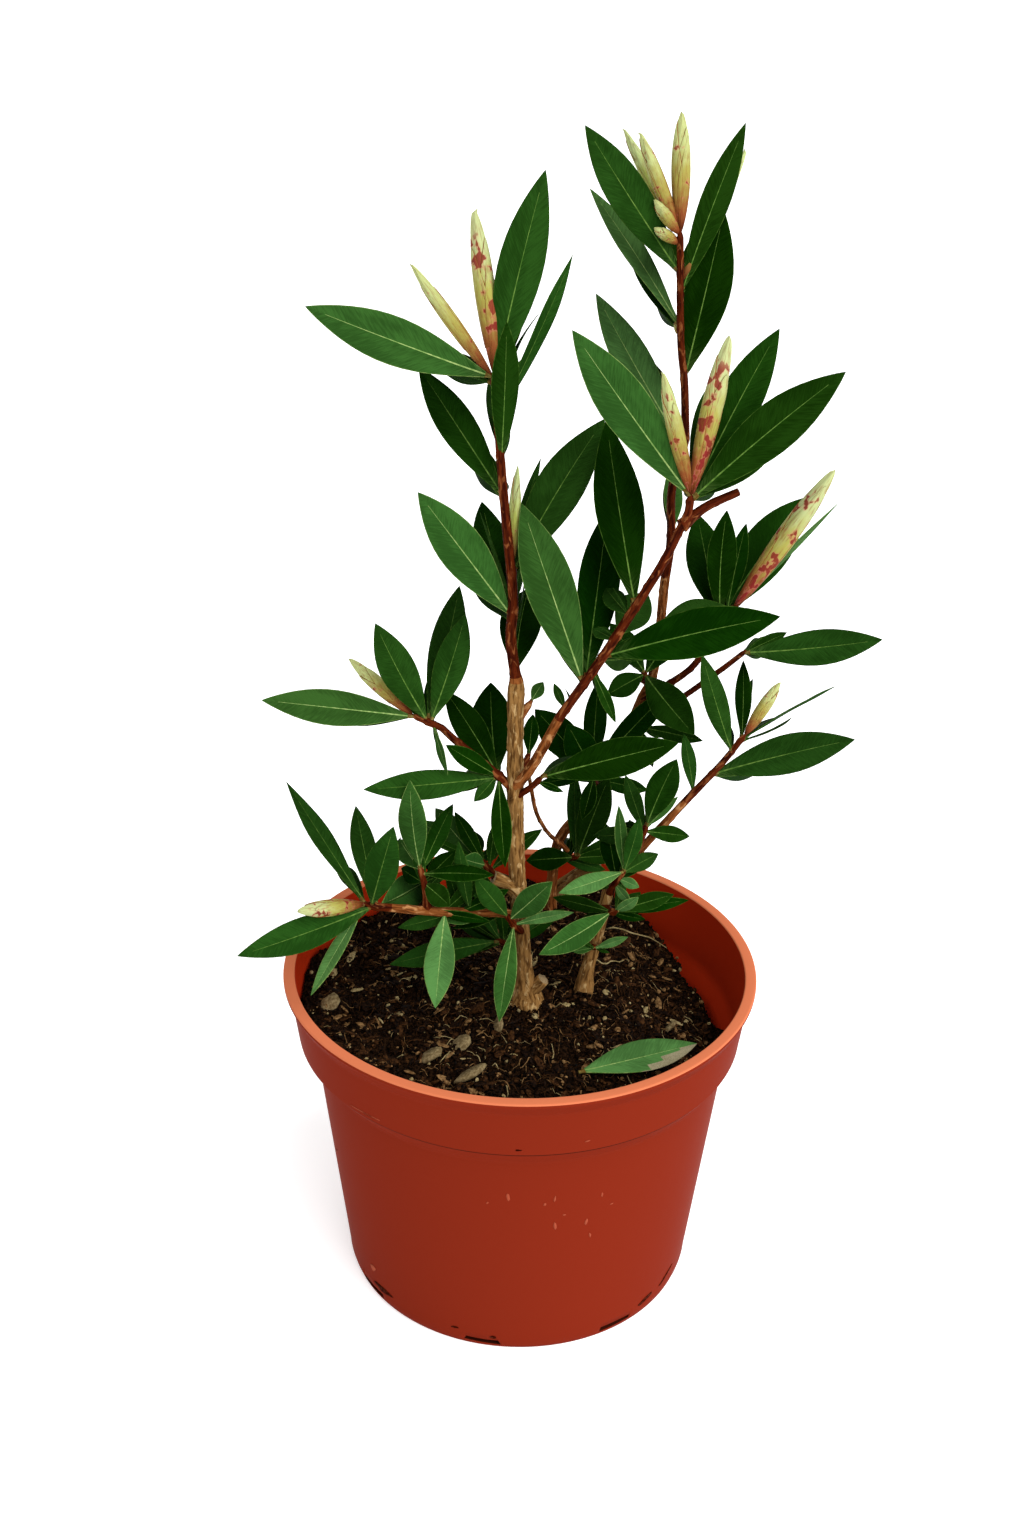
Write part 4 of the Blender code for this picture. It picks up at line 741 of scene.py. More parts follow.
def filling_rows(mass, spine, seed):
    """More leaves on the same stem, each leaning away behind one of the broadest shown ones."""
    longest = max(row[3] for row in mass.leaves)
    hosts = sorted(mass.leaves, key=face_in_view, reverse=True)
    for k in range(mass.fill):
        front = hosts[k % len(hosts)]
        root = place_behind(front, spine, seed)
        swing = front[1] + seed.uniform(*FILL_SWING)
        lean = seed.uniform(*FILL_LEAN)
        cover = FILL_COVER * height_in_view(front) / math.cos(math.radians(lean))
        length = min(cover, longest * seed.uniform(*FILL_LENGTH))
        width = min(length * FILL_WIDTH, front[4])
        row = (swing, lean, length, width, seed.uniform(*FILL_TURN))
        yield root, row, FILL_TONE, (EYE - root).normalized()


def finer_rows(mass, spine, seed):
    """Small leaves between the larger ones of a low shoot."""
    longest = max(row[3] for row in mass.leaves)
    for k in range(FINER_LEAVES.get(mass.name, 0)):
        length = longest * seed.uniform(*FINER_LENGTH)
        row = (seed.uniform(*FINER_SWING), seed.uniform(*FINER_LEAN), length, length * FILL_WIDTH,
               seed.uniform(*FILL_TURN))
        yield along(spine, seed.uniform(*FINER_REACH)), row, None, NEAR


def upright_rows(mass, spine, seed, far_side):
    """Leaves that lean away behind the shown ones, blades upright, for the sides; none past the far side."""
    for front in mass.leaves * UPRIGHT_LEAVES:
        swing = front[1] + seed.uniform(*FILL_SWING)
        lean = seed.uniform(*UPRIGHT_LEAN)
        root = place_behind(front, spine, seed)
        length = min(FILL_COVER * height_in_view(front) / math.cos(math.radians(lean)), front[3],
                     UPRIGHT_COVER * (far_side - root.y) / MM)
        width = min(length * FILL_WIDTH, front[4]) * FILL_SLIM
        row = (swing, lean, length, width, seed.choice((-1, 1)) * seed.uniform(*UPRIGHT_TURN))
        yield root, row, FILL_TONE, (EYE - root).normalized()


def grow(crown, mass, rows, seed, slim=1.0, **limits):
    """The leaves of some rows that find clear room, each with its tone, or with a deep one at random."""
    placed = []
    for root, row, tone, near in rows(mass, smooth_route(mass.route), seed, **limits):
        shape = settle(crown, mass, root, row, seed.uniform(*BOW), near)
        if shape:
            *start, width, turn, bow = shape
            tone = seed.choice(DEEP_TONES) if tone is None else tone
            placed.append(((*start, width * slim, turn, bow), tone))
    return placed


class Heap:
    """Forms of one kind gathered into one mesh, with a finish for each face and a place for each point.

    The place is a point in the form's own grain, in millimetres, which the finishes read.
    """

    def __init__(self, name, finishes):
        self.name = name
        self.finishes = finishes
        self.points = []
        self.faces = []
        self.tints = []
        self.places = []

    def add(self, points, faces, tints, places):
        first = len(self.points)
        self.points.extend(tuple(p) for p in points)
        self.places.extend(tuple(p) for p in places)
        self.faces.extend(tuple(first + i for i in face) for face in faces)
        self.tints.extend(tints)

    def rings(self, rings, places, tints, tip=None, cap_tint=None):
        """Join equal rings into a closed form; tints has one row for each step between rings."""
        points, faces = loft(rings, tip)
        marks = [p for ring in places for p in ring]
        shades = [tint for row in tints[:len(rings) - 1] for tint in row] + [tints[0][0]]
        if tip is None:
            shades.append(tints[-1][0] if cap_tint is None else cap_tint)
        else:
            marks.append(marks[-1])
            shades.extend(tints[-1])
        self.add(points, faces, shades, marks)

    def piece(self, slot, *nodes, smooth=True):
        """Make the piece; it rides on the root body and stands for the given solids."""
        mesh = bpy.data.meshes.new(self.name)
        mesh.from_pydata(self.points, [], self.faces)
        for name in self.finishes:
            mesh.materials.append(finish(name))
        mesh.polygons.foreach_set("material_index", self.tints)
        mesh.polygons.foreach_set("use_smooth", [smooth] * len(self.faces))
        grain = mesh.attributes.new("place", "FLOAT_VECTOR", "POINT")
        grain.data.foreach_set("vector", [c for place in self.places for c in place])
        mesh.update()
        made = in_scene(self.name, mesh)
        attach(made, "root")
        if nodes:
            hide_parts(*nodes)
        return made


def shell(top, low):
    """One ring of a thin shell from its outer row and its inner row, which share their two edges."""
    return list(top) + list(reversed(low[1:-1]))


def fine_leaf(heap, shape, tone, looks, dry=None):
    """One leaf: a thin blade folded along its raised pale midrib, with a paler underside."""
    root, direction, length, width, turn, bow = shape
    face, across = [np.array(v) for v in blade_axes(direction, turn)]
    root, direction = np.array(root), np.array(direction)
    fold, wave = looks.uniform(*FOLD), looks.uniform(*WAVE)
    sweep, twist = looks.uniform(*SWEEP), math.radians(looks.uniform(*TWIST))
    phase, number = looks.uniform(0, 6), looks.uniform(0, 1)
    top, bright = TINT[f"green_{tone}"], tone >= LIGHT_TONE
    rib_tint = TINT["rib_light" if bright else "rib_dark"]
    edge_tint = TINT["edge_light" if bright else "edge_dark"]
    rings, places, tints = [], [], []
    for k in range(BLADE_STATIONS):
        share = (1 - math.cos(math.pi * (k + 0.15) / (BLADE_STATIONS - 0.2))) / 2
        arch = 4 * share * (1 - share)
        centre = root + direction * length * share + (face * bow + across * sweep) * length * arch
        angle = twist * (share - 0.4)
        wide = across * math.cos(angle) + face * math.sin(angle)
        lift = face * math.cos(angle) - across * math.sin(angle)
        half = width / 2 * blade_width(share)
        if share < 0.5:
            half = max(STALK, half)
        rib = min(RIB_LIMIT * half, RIB * min(1, width / RIB_FULL) * max(0.2, 1.15 - 1.1 * share))
        margin = half - min(MARGIN_LIMIT * half, MARGIN)
        right = [rib, *[column * margin for column in BLADE_COLUMNS], margin, half]
        spots = [-spot for spot in reversed(right)] + right
        blade_share = smooth_step((share - STALK_SHARE) / STALK_EASE)
        body = BLADE_THICKNESS * (1 - 0.5 * share) / 2 + (1 - blade_share) * STALK * 0.7
        ridge = RIB_RISE * max(0.0, 1 - share / RIB_END)
        ripple = wave * math.sin(share * 9 + phase)
        over, below = [], []
        for spot in spots:
            part = abs(spot) / half
            rise = blade_share * (fold * abs(spot) - 0.35 * fold * spot * spot / half)
            rise += blade_share * half * ripple * part * part * (1 if spot > 0 else -1)
            thick = 0 if abs(spot) == half else body
            raised = ridge if abs(spot) == rib else 0
            over.append(centre + wide * spot + lift * (rise + thick + raised))
            below.append(centre + wide * spot + lift * (rise - thick - 2 * raised))
        rings.append(shell(over, below))
        marks = [(share, spot / MM, number) for spot in spots]
        places.append(shell(marks, marks))
        if share < STALK_SHARE:
            tints.append([TINT["stalk"]] * len(rings[-1]))
            continue
        middle = rib_tint if share < RIB_END else top
        row = [edge_tint, top, top, top, middle, top, top, top, edge_tint]
        if dry:
            row[5:] = [TINT["dry"] if share > start else underlying for start, underlying in zip(dry, row[5:])]
        tints.append(row + [TINT["under"]] * 4 + [rib_tint] + [TINT["under"]] * 4)
    heap.rings(rings, places, tints, tip=root + direction * length)


def bud_size(share, blunt):
    """Radius of a bud along its length, as a share of the greatest; a blunt one is full to near its tip."""
    close = 0.8 - 0.3 * blunt
    peak = 0.75 / (0.75 + close)
    return ((share + 0.03) / (peak + 0.03)) ** 0.75 * ((1 - share) / (1 - peak)) ** close


def fine_bud(heap, shape, kind, looks):
    """A pointed bud: a slim core wrapped in a few long bracts."""
    root, direction, length, width = shape
    face, across = [np.array(v) for v in blade_axes(direction, 0)]
    root, direction = np.array(root), np.array(direction)
    number = looks.uniform(0, 1)
    lean = looks.uniform(*BUD_LEAN)

    def spot(share, angle, out):
        size = width / 2 * bud_size(min(share, 0.995), BUD_BLUNT[kind])
        reach = max(0.4 * size, size - BUD_TRIM) + out
        middle = root + direction * length * share + across * lean * length * share * share
        return middle + (across * math.cos(angle) + face * math.sin(angle)) * reach

    def mark(share, angle):
        return (share * 40, 6 * math.cos(angle), 6 * math.sin(angle) + 60 * number)

    rings, places = [], []
    for k in range(BUD_RINGS):
        share = k / BUD_RINGS
        circle = turns(BUD_FINE_SIDES)
        rings.append([spot(share, t, 0.02 * width * math.sin(5 * t + 7 * share)) for t in circle])
        places.append([mark(share, t) for t in circle])
    tints = [[kind] * BUD_FINE_SIDES] * (BUD_RINGS - 1)
    heap.rings(rings, places, tints, tip=root + direction * length * 0.99)
    edge = BUD_FINISHES.index("bud_edge")
    shades = [[edge] + [kind] * 4 + [edge] + [kind] * 6] * BRACT_ROWS
    for k in range(BRACTS):
        start = BRACT_FOOT + BRACT_STEP * k
        run_on = BRACT_END - start - looks.uniform(*BRACT_SHORTER)
        middle = BRACT_TURN * k + 6 * number
        rings, places = [], []
        for row in range(BRACT_ROWS):
            t = (row + 0.3) / BRACT_ROWS
            share = start + run_on * t
            half = BRACT_SPREAD * math.sin(math.pi * (0.22 + 0.78 * t)) ** 0.7 * (1 - 0.3 * t) + 0.04
            lift = BRACT_LIFT * (0.5 + 0.5 * t)
            angles = [middle + half * c for c in BRACT_COLUMNS]
            lifts = [0 if abs(c) == 1 else 1 for c in BRACT_COLUMNS]
            over = [spot(share, a, lift * up) for a, up in zip(angles, lifts)]
            below = [spot(share, a, -BRACT_DEPTH * up) for a, up in zip(angles, lifts)]
            marks = [mark(share, a) for a in angles]
            rings.append(shell(over, below))
            places.append(shell(marks, marks))
        heap.rings(rings, places, shades, tip=spot(start + run_on, middle, BRACT_LIFT))


def stem_chains():
    """Stems that run on from one another, foot to tip."""
    following = {}
    for stem in STEMS.values():
        carrier = STEMS.get(stem.on)
        if carrier and carrier.route[-1] == stem.route[0]:
            following[carrier.name] = stem
    run_on = {stem.name for stem in following.values()}
    chains = []
    for stem in STEMS.values():
        if stem.name not in run_on:
            chain = [stem]
            while chain[-1].name in following:
                chain.append(following[chain[-1].name])
            chains.append(chain)
    return chains


def chain_line(chain):
    """Points, radii and youth at even steps along a chain, with how far along it each step lies."""
    points, sizes, youth = [], [], []
    for stem in chain:
        line, wide = route_line(stem, FINE_SAMPLES)
        skip = 1 if points else 0
        points.extend(line[skip:])
        sizes.extend(wide[skip:])
        youth.extend([YOUTH.get(stem.name, 1.0)] * (len(line) - skip))
    points = np.array([tuple(p) for p in points])
    travel = np.concatenate([[0], np.cumsum(np.linalg.norm(np.diff(points, axis=0), axis=1))])
    steps = np.linspace(0, travel[-1], max(4, int(travel[-1] / RING_STEP) + 1))
    even = np.stack([np.interp(steps, travel, points[:, axis]) for axis in range(3)], axis=1)

    def eased(values):
        padded = np.pad(np.interp(steps, travel, values), EASE_STEPS, mode="edge")
        window = 2 * EASE_STEPS + 1
        return np.convolve(padded, np.ones(window) / window, mode="valid")

    return even, eased(np.array(sizes)), eased(np.array(youth)), steps


def scar_places(chain, looks):
    """How far along a chain its leaf scars and leaf roots lie, each with the way that it faces."""
    scars = []
    far = 0.0
    for stem in chain:
        line = smooth_route(stem.route, FINE_SAMPLES)
        length = sum((b - a).length for a, b in zip(line, line[1:]))
        if isinstance(stem, Mass):
            scars.extend((far + row[0] * length, looks.uniform(0, 6)) for row in stem.leaves)
        else:
            scars.extend((far + (k + looks.uniform(*SCAR_PLACE)) * SCAR_STEP, looks.uniform(0, 6))
                         for k in range(int(length / SCAR_STEP)))
        far += length
    return scars


def bark_relief(grain):
    """Ridges of the bark at a place in its grain."""
    return noise.noise(grain * 0.9) + 0.6 * noise.noise(grain * 2.3) + 0.3 * noise.noise(grain * 5.0)


def fine_stem(heap, chain, looks):
    """A chain of stems as one tube with the bark's ridges, leaf scars and a collar at its foot."""
    points, sizes, youth, steps = chain_line(chain)
    scars = scar_places(chain, looks)
    cut_end = isinstance(chain[-1], Limb)
    number = looks.uniform(0, 50)
    face = blade_axes(Vector(points[1] - points[0]).normalized(), 0)[0]
    rings, places, tints = [], [], []
    sides = STEM_SIDES if max(sizes) < THICK_STEM else 2 * STEM_SIDES
    for k, (centre, size, young, far) in enumerate(zip(points, sizes, youth, steps)):
        line = Vector(points[min(k + 1, len(points) - 1)] - points[max(k - 1, 0)]).normalized()
        face = (face - line * line.dot(face)).normalized()
        across = line.cross(face)
        if chain[0].on != "soil":
            size = size * (1 + COLLAR_SWELL * math.exp(-(far / COLLAR_LENGTH) ** 2))
        left = steps[-1] - far
        if not cut_end:
            size = size * min(1.0, 0.35 + left / SHOOT_TAPER)
        elif left < CUT_BEVEL:
            size = size * CUT_SIZE
        rough = BARK_RELIEF * (1 - 0.72 * young) * min(1.0, size / (2 * MM))
        ring, marks = [], []
        for turn in turns(sides):
            grain = around(size / MM, turn, far / MM * 0.13 + number)
            reach = size + rough * bark_relief(grain)
            for place, way in scars:
                if abs(far - place) < 3 * SCAR_WIDTH:
                    side = 0.45 + 0.55 * math.cos(turn - way)
                    reach += SCAR_RISE * side * math.exp(-((far - place) / SCAR_WIDTH) ** 2)
            ring.append(centre + np.array(across * math.cos(turn) + face * math.sin(turn)) * -reach)
            marks.append(tuple(grain))
        rings.append(ring)
        places.append(marks)
        tints.append([0 if young < BROWN_FROM else 1 if young < RED_FROM else 2] * sides)
    tip = None if cut_end else Vector(points[-1]) + line * sizes[-1] * 0.6
    heap.rings(rings, places, tints, tip=tip, cap_tint=STEM_FINISHES.index("cut_wood"))


def make_stems(looks):
    """A piece for each chain that starts on a bare limb, and one for all the leafy side shoots."""
    shoots = Heap("side_shoots", STEM_FINISHES)
    for chain in stem_chains():
        limbs = [stem.name for stem in chain if isinstance(stem, Limb)]
        if limbs:
            heap = Heap("bark_of_" + limbs[0], STEM_FINISHES)
            fine_stem(heap, chain, looks)
            heap.piece("bark" if limbs[0] in TAN_LIMBS else "red_bark", *limbs)
        else:
            fine_stem(shoots, chain, looks)
    shoots.piece("red_bark")


def grown_from(mass):
    """The stem in the soil that a mass grows from in the end."""
    while mass.on != "soil":
        mass = STEMS[mass.on]
    return mass.name


def make_foliage(frame, far_side, looks):
    """Leaves and buds, settled in the same order and by the same seed as the solids."""
    crown = Crown()
    for name in ("pot", "soil", "fallen_leaf"):
        crown.add(name, mesh_form(frame["nodes"][name].data))
    for stem in STEMS.values():
        crown.add(stem.name, tube_form(stem))
    buds = Heap("buds", BUD_FINISHES)
    for mass in MASSES:
        spine = smooth_route(mass.route)
        for k, (at, swing, lean, length, width) in enumerate(mass.buds):
            shape = (along(spine, at), heading(swing, lean), length * MM, width * MM)
            crown.add(mass.name, bud_form(*shape))
            fine_bud(buds, shape, BUD_KINDS.get((mass.name, k), 0), looks)
    seed = random.Random(7)
    shown = {mass.name: grow(crown, mass, shown_rows, seed) for mass in MASSES}
    filled = {mass.name: grow(crown, mass, filling_rows, seed, FILL_SLIM) for mass in MASSES}
    heaps = {name: Heap("leaves_on_" + name, LEAF_FINISHES) for name in GROWN_STEMS}
    for mass in MASSES:
        finer = grow(crown, mass, finer_rows, seed)
        upright = grow(crown, mass, upright_rows, seed, far_side=far_side)
        for shape, tone in shown[mass.name] + filled[mass.name] + finer + upright:
            fine_leaf(heaps[grown_from(mass)], shape, tone, looks)
    for name, heap in heaps.items():
        heap.piece("leaf", *[mass.name for mass in MASSES if grown_from(mass) == name])
    buds.piece("leaf")


def make_fallen_leaf(looks):
    """The dropped leaf, where its solid lies, with a dried half."""
    (x0, y0), (x1, y1), width = FALLEN_LEAF
    low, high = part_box("fallen_leaf")
    line = Vector((x1 - x0, y1 - y0, 0)) * MM
    direction = line.normalized()
    face = blade_axes(direction, 0)[0]
    up = Vector((0, 0, 1))
    lie = math.degrees(math.atan2(direction.dot(face.cross(up)), face.dot(up))) - FALLEN_TILT
    root = Vector((x0 * MM, y0 * MM, (low.z + high.z) / 2)) - line * FALLEN_STALK + up * FALLEN_LIFT
    longer, wider = FALLEN_SIZE
    shape = (root, direction, line.length * longer, width * wider * MM, lie + FALLEN_ROLL, 0.0)
    heap = Heap("dropped_leaf", LEAF_FINISHES)
    fine_leaf(heap, shape, FALLEN_TONE, looks, DRY_FROM)
    heap.piece("leaf", "fallen_leaf")


def inner_radius(height):
    """Radius of the pot's inside at a height."""
    steps = (HEEL, SHOULDER, COLLAR_FOOT, COLLAR_TOP)
    for (r0, z0), (r1, z1) in zip(steps, steps[1:]):
        if height <= z1:
            return r0 + (r1 - r0) * (height - z0) / (z1 - z0) - WALL
    return COLLAR_TOP[0] - WALL


def swell(place):
    """A point of the pot or the soil, moved out where the collar bulges on the left."""
    reach = max(MM, math.hypot(place.x, place.y))
    share = smooth_step((place.z - SHOULDER[1]) / SWELL_RISE) * max(0.0, -place.x / reach) ** 2
    return place - SIDE * (SWELL * share)


def arc(centre, radius, start, end, steps):
    """Points of a round stretch in the half outline of the pot, angles in degrees."""
    angles = [math.radians(start + (end - start) * k / steps) for k in range(steps + 1)]
    return [(centre[0] + radius * math.cos(t), centre[1] + radius * math.sin(t)) for t in angles]


def path(*stops):
    """Points of the outline from stop to stop; each has its number of steps, and the last is left out."""
    points = []
    for ((x0, z0), steps), ((x1, z1), _) in zip(stops, stops[1:]):
        points += [(x0 + (x1 - x0) * k / steps, z0 + (z1 - z0) * k / steps) for k in range(steps)]
    return points


def make_pot(looks):
    """The pot turned from a smooth outline, its drain slots cut through the heel."""
    ease = LIP_EASE
    (collar, collar_top), (foot, collar_foot), (shoulder, shoulder_top), (heel, heel_top) = (
        COLLAR_TOP, COLLAR_FOOT, SHOULDER, HEEL)
    inside = path(((FLOOR_MIDDLE, FLOOR), 3), ((inner_radius(FLOOR), FLOOR), 24),
                  ((shoulder - WALL, shoulder_top), 4), ((foot - WALL, collar_foot), 10),
                  ((collar - WALL, LIP_FOOT), 0))
    lip = arc((collar - WALL + ease, POT_HEIGHT - ease), ease, 180, 90, 5)
    lip += arc((RIM_RADIUS - ease, POT_HEIGHT - ease), ease, 90, 0, 5)
    collar_part = arc((RIM_RADIUS - ease, POT_HEIGHT - LIP_DEPTH + ease), ease, 0, -55, 4)
    collar_part += [(collar + COLLAR_EASE, collar_top + COLLAR_EASE)]
    collar_part += path((COLLAR_TOP, 14), ((foot, collar_foot + ease), 0))
    collar_part += arc((foot - ease, collar_foot + 0.4 * ease), ease, 0, -40, 4)
    below = path(((foot - GROOVE[0], collar_foot - GROOVE[1]), 6), (SHOULDER, 60),
                 ((heel + HEEL_EASE[0], heel_top + HEEL_EASE[1]), 0))
    below += [HEEL, (heel - HEEL_TURN[0], heel_top - HEEL_TURN[1])]
    below += [(BASE_RADIUS + out, up) for out, up in BASE_STEPS]
    # The lip's rows take painted light, and the two rows under the collar's foot take painted shade.
    kinds = ["pot_inside"] * (len(inside) + 1) + ["pot_lip"] * (len(lip) - 2)
    kinds += ["pot_clay"] * (len(collar_part) - 1) + ["pot_groove"] * 2 + ["pot_clay"] * len(below)
    circle = turns(POT_SEGMENTS)[::-1]
    rings = [[swell(around(radius, t, height)) for t in circle]
             for radius, height in inside + lip + collar_part + below]
    places = [[tuple(p / MM) for p in ring] for ring in rings]
    heap = Heap("nursery_pot", POT_FINISHES)
    heap.rings(rings, places, [[POT_FINISHES.index(kind)] * POT_SEGMENTS for kind in kinds])
    cut_drains(heap.piece("pot", "pot"), looks)


def cut_drains(pot, looks):
    """Cut the drain slots, each a little uneven, through the heel."""
    cutter = bmesh.new()
    size = Matrix.Diagonal((DRAIN_WIDTH, DRAIN_CUT, DRAIN_HEIGHT - DRAIN_SILL, 1))
    for turn in turns(DRAINS):
        turn += DRAIN_TURN
        middle = around(DRAIN_RADIUS, turn - math.pi / 2, (DRAIN_SILL + DRAIN_HEIGHT) / 2)
        spot = Matrix.Translation(middle) @ Matrix.Rotation(turn, 4, "Z") @ size
        for vert in bmesh.ops.create_cube(cutter, size=1, matrix=spot)["verts"]:
            vert.co += Vector([looks.uniform(-1, 1) for _ in range(3)]) * DRAIN_JITTER
    mesh = bpy.data.meshes.new("drain_cutter")
    cutter.to_mesh(mesh)
    cutter.free()
    for material in pot.data.materials:
        mesh.materials.append(material)
    # The walls of the slots take the dark nick finish, painted shade inside the slots.
    mesh.polygons.foreach_set("material_index", [POT_FINISHES.index("nick")] * len(mesh.polygons))
    tool = in_scene("drain_cutter", mesh)
    cut = pot.modifiers.new("drains", "BOOLEAN")
    cut.operation = "DIFFERENCE"
    cut.solver = "EXACT"
    cut.object = tool
    pot.data = evaluated_mesh(pot)
    pot.modifiers.remove(cut)
    bpy.data.objects.remove(tool)


def make_marks(looks):
    """Thin scuffs and nicks on the pot's outside."""
    heap = Heap("pot_marks", ["scuff", "nick"])
    for turn, height, length, width, slant, tint in POT_MARKS:
        turn, slant = math.radians(turn), math.radians(slant)
        rim = []
        for t in turns(MARK_SIDES):
            reach = looks.uniform(*MARK_RAGGED)
            x, y = length / 2 * math.cos(t) * reach, width / 2 * math.sin(t) * reach
            wide = x * math.cos(slant) - y * math.sin(slant)
            z = (height + x * math.sin(slant) + y * math.cos(slant)) * MM
            radius = inner_radius(z) + WALL + MARK_RISE
            rim.append(swell(around(radius, turn + wide * MM / radius - math.pi / 2, z)))
        places = [tuple(p / MM) for p in rim]
        low = [p - around(2 * MARK_RISE, turn - math.pi / 2) for p in rim]
        heap.rings([low, rim], [places, places], [[tint] * MARK_SIDES], cap_tint=tint)
    heap.piece("pot")


def stem_foot(limb):
    """Where a stem stands in the soil, in metres."""
    return min(smooth_route(limb.route), key=lambda p: abs(p.z - SOIL_LEVEL))


SOIL_FEET = [stem_foot(limb) for limb in LIMBS if limb.on == "soil"]


def soil_height(x, y):
    """Top of the soil: lumpy, sunk on the right, flat just under each stem."""
    sink = SOIL_SINK * smooth_step((x - SINK_START) / (SINK_END - SINK_START))
    lump = math.sin(x * 210 + 1.3) * math.cos(y * 170 + 0.4) + 0.6 * math.sin(x * 95 - y * 240)
    for foot in SOIL_FEET:
        lump *= smooth_step((math.hypot(x - foot.x, y - foot.y) - STEM_ROOM) / STEM_EASE)
    return SOIL_LEVEL - GAP - sink + SOIL_LUMP * (lump - 0.6 * abs(lump))


def shrunk(turn):
    """How far the soil has drawn back from the wall, at an angle from +X."""
    return WALL_GAP * math.exp(-((math.degrees(turn) - WALL_GAP_TURN) / WALL_GAP_SPREAD) ** 2)


def ground(x, y, lift=0.0):
    """A point on the fine top of the soil, or above it: the solid's lumps with clods and grit on them."""
    place = Vector((x, y, 0)) / MM
    clods = noise.noise(place * 0.17) + 0.6 * noise.noise(place * 0.45 + Vector((9, 0, 4)))
    grit = noise.noise(place * 1.1 + Vector((0, 7, 1))) - abs(noise.noise(place * 0.8 + Vector((3, 1, 7))))
    return Vector((x, y, soil_height(x, y) + CLOD_RISE * clods + GRIT_RISE * grit + lift))


def make_soil():
    """The soil as one closed body with a fine top."""
    circle = turns(SOIL_SEGMENTS)
    rings = []
    for height in (FLOOR + GAP, SOIL_BEND):
        rings.append([around(inner_radius(height) - SOIL_EDGE, t, height) for t in circle])
    edge = []
    wide = inner_radius(SOIL_LEVEL)
    for t in circle:
        bumps = around(12, t)
        height = soil_height(wide * math.cos(t), wide * math.sin(t)) + EDGE_BUMP * noise.noise(bumps)
        ragged = SOIL_RAGGED * (0.5 + noise.noise(bumps * 1.4) + 0.4 * noise.noise(bumps * 4))
        reach = inner_radius(height) - SOIL_EDGE - max(0.0, ragged) - shrunk(t)
        edge.append(swell(around(reach, t, height - EDGE_DROP)))
    rings.append(edge)
    for k in range(SOIL_RINGS):
        share = 1 - (k + 0.4) / SOIL_RINGS
        rings.append([ground(p.x * share, p.y * share) for p in edge])
    places = [[tuple(p / MM) for p in ring] for ring in rings]
    heap = Heap("potting_soil", ["peat"])
    heap.rings(rings, places, [[0] * SOIL_SEGMENTS] * len(rings), tip=ground(0, 0))
    heap.piece("soil", "soil")


def soil_spot(looks, margin):
    """A random place on the soil, clear of the wall by a margin."""
    turn = looks.uniform(-math.pi, math.pi)
    wide = math.sqrt(looks.uniform(0, 1))
    reach = wide * inner_radius(SOIL_LEVEL)
    height = soil_height(reach * math.cos(turn), reach * math.sin(turn))
    reach = wide * (inner_radius(height) - margin - shrunk(turn))
    return reach * math.cos(turn), reach * math.sin(turn)


def pick(looks, weights):
    """A random finish of the litter, by how often each one comes."""
    return looks.choices(range(len(weights)), weights)[0]


def crumb_form():
    """Points and faces of a small ball."""
    ball = bmesh.new()
    bmesh.ops.create_icosphere(ball, subdivisions=1, radius=1)
    points = [v.co.copy() for v in ball.verts]
    faces = [tuple(v.index for v in f.verts) for f in ball.faces]
    ball.free()
    return points, faces


def add_crumb(heap, form, place, size, tint, looks):
    """One crumb: a small ball pushed out of round, turned at random and flattened."""
    points, faces = form
    turn = Quaternion([looks.gauss(0, 1) for _ in range(4)]).normalized()
    shift = Vector([looks.uniform(0, GRAIN_SPREAD) for _ in range(3)])
    made = []
    for p in points:
        q = p * (1 + CRUMB_ROUGH * noise.noise(p * 1.7 + shift))
        made.append(place + turn @ Vector([c * flat for c, flat in zip(q, CRUMB_SHAPE)]) * size)
    heap.add(made, faces, [tint] * len(faces), [p / MM + shift for p in made])


def add_fibre(heap, x, y, angle, length, thick, curl, tint, looks, lift):
    """One curved root fibre that follows the soil."""
    steps = FIBRE_STEPS
    points = []
    arch = looks.uniform(*FIBRE_ARCH) * MM
    for k in range(steps + 1):
        points.append(ground(x, y, lift + arch * math.sin(math.pi * k / steps)))
        angle += curl / steps + looks.uniform(*FIBRE_KINK)
        x += math.cos(angle) * length / steps
        y += math.sin(angle) * length / steps
    rings, places = [], []
    number = looks.uniform(0, GRAIN_SPREAD)
    for k, p in enumerate(points):
        line = (points[min(k + 1, steps)] - points[max(k - 1, 0)]).normalized()
        side = line.cross(Vector((0, 0, 1))).normalized()
        top = side.cross(line)
        size = thick * (1 - 0.5 * k / steps)
        rings.append([p + (side * math.cos(t) + top * math.sin(t)) * size for t in turns(4)])
        places.append([(k, i, number) for i in range(4)])
    heap.rings(rings, places, [[tint] * 4] * steps, tip=points[-1] + line * thick)


def add_chip(heap, place, size, turn, tilt, tint, looks):
    """One flat splinter of bark or dry leaf with a jagged outline."""
    length, width, thick = size
    across = Vector((math.cos(turn), math.sin(turn), math.sin(tilt) * 0.8)).normalized()
    up = Vector((looks.uniform(*CHIP_LEAN), looks.uniform(*CHIP_LEAN), 1))
    other = up.cross(across).normalized()
    up = across.cross(other)
    rings = [[], [], []]
    for t in turns(CHIP_SIDES):
        reach = looks.uniform(*CHIP_RAGGED)
        out = across * math.cos(t) * length / 2 * reach + other * math.sin(t) * width / 2 * reach
        bend = thick * CHIP_BEND * math.cos(t)
        for ring, (wide, lift) in zip(rings, CHIP_RINGS):
            ring.append(place + out * wide + up * (thick * lift + bend))
    shift = Vector((looks.uniform(0, GRAIN_SPREAD), 0, 0))
    places = [[p / MM + shift for p in ring] for ring in rings]
    heap.rings(rings, places, [[tint] * CHIP_SIDES] * 2)


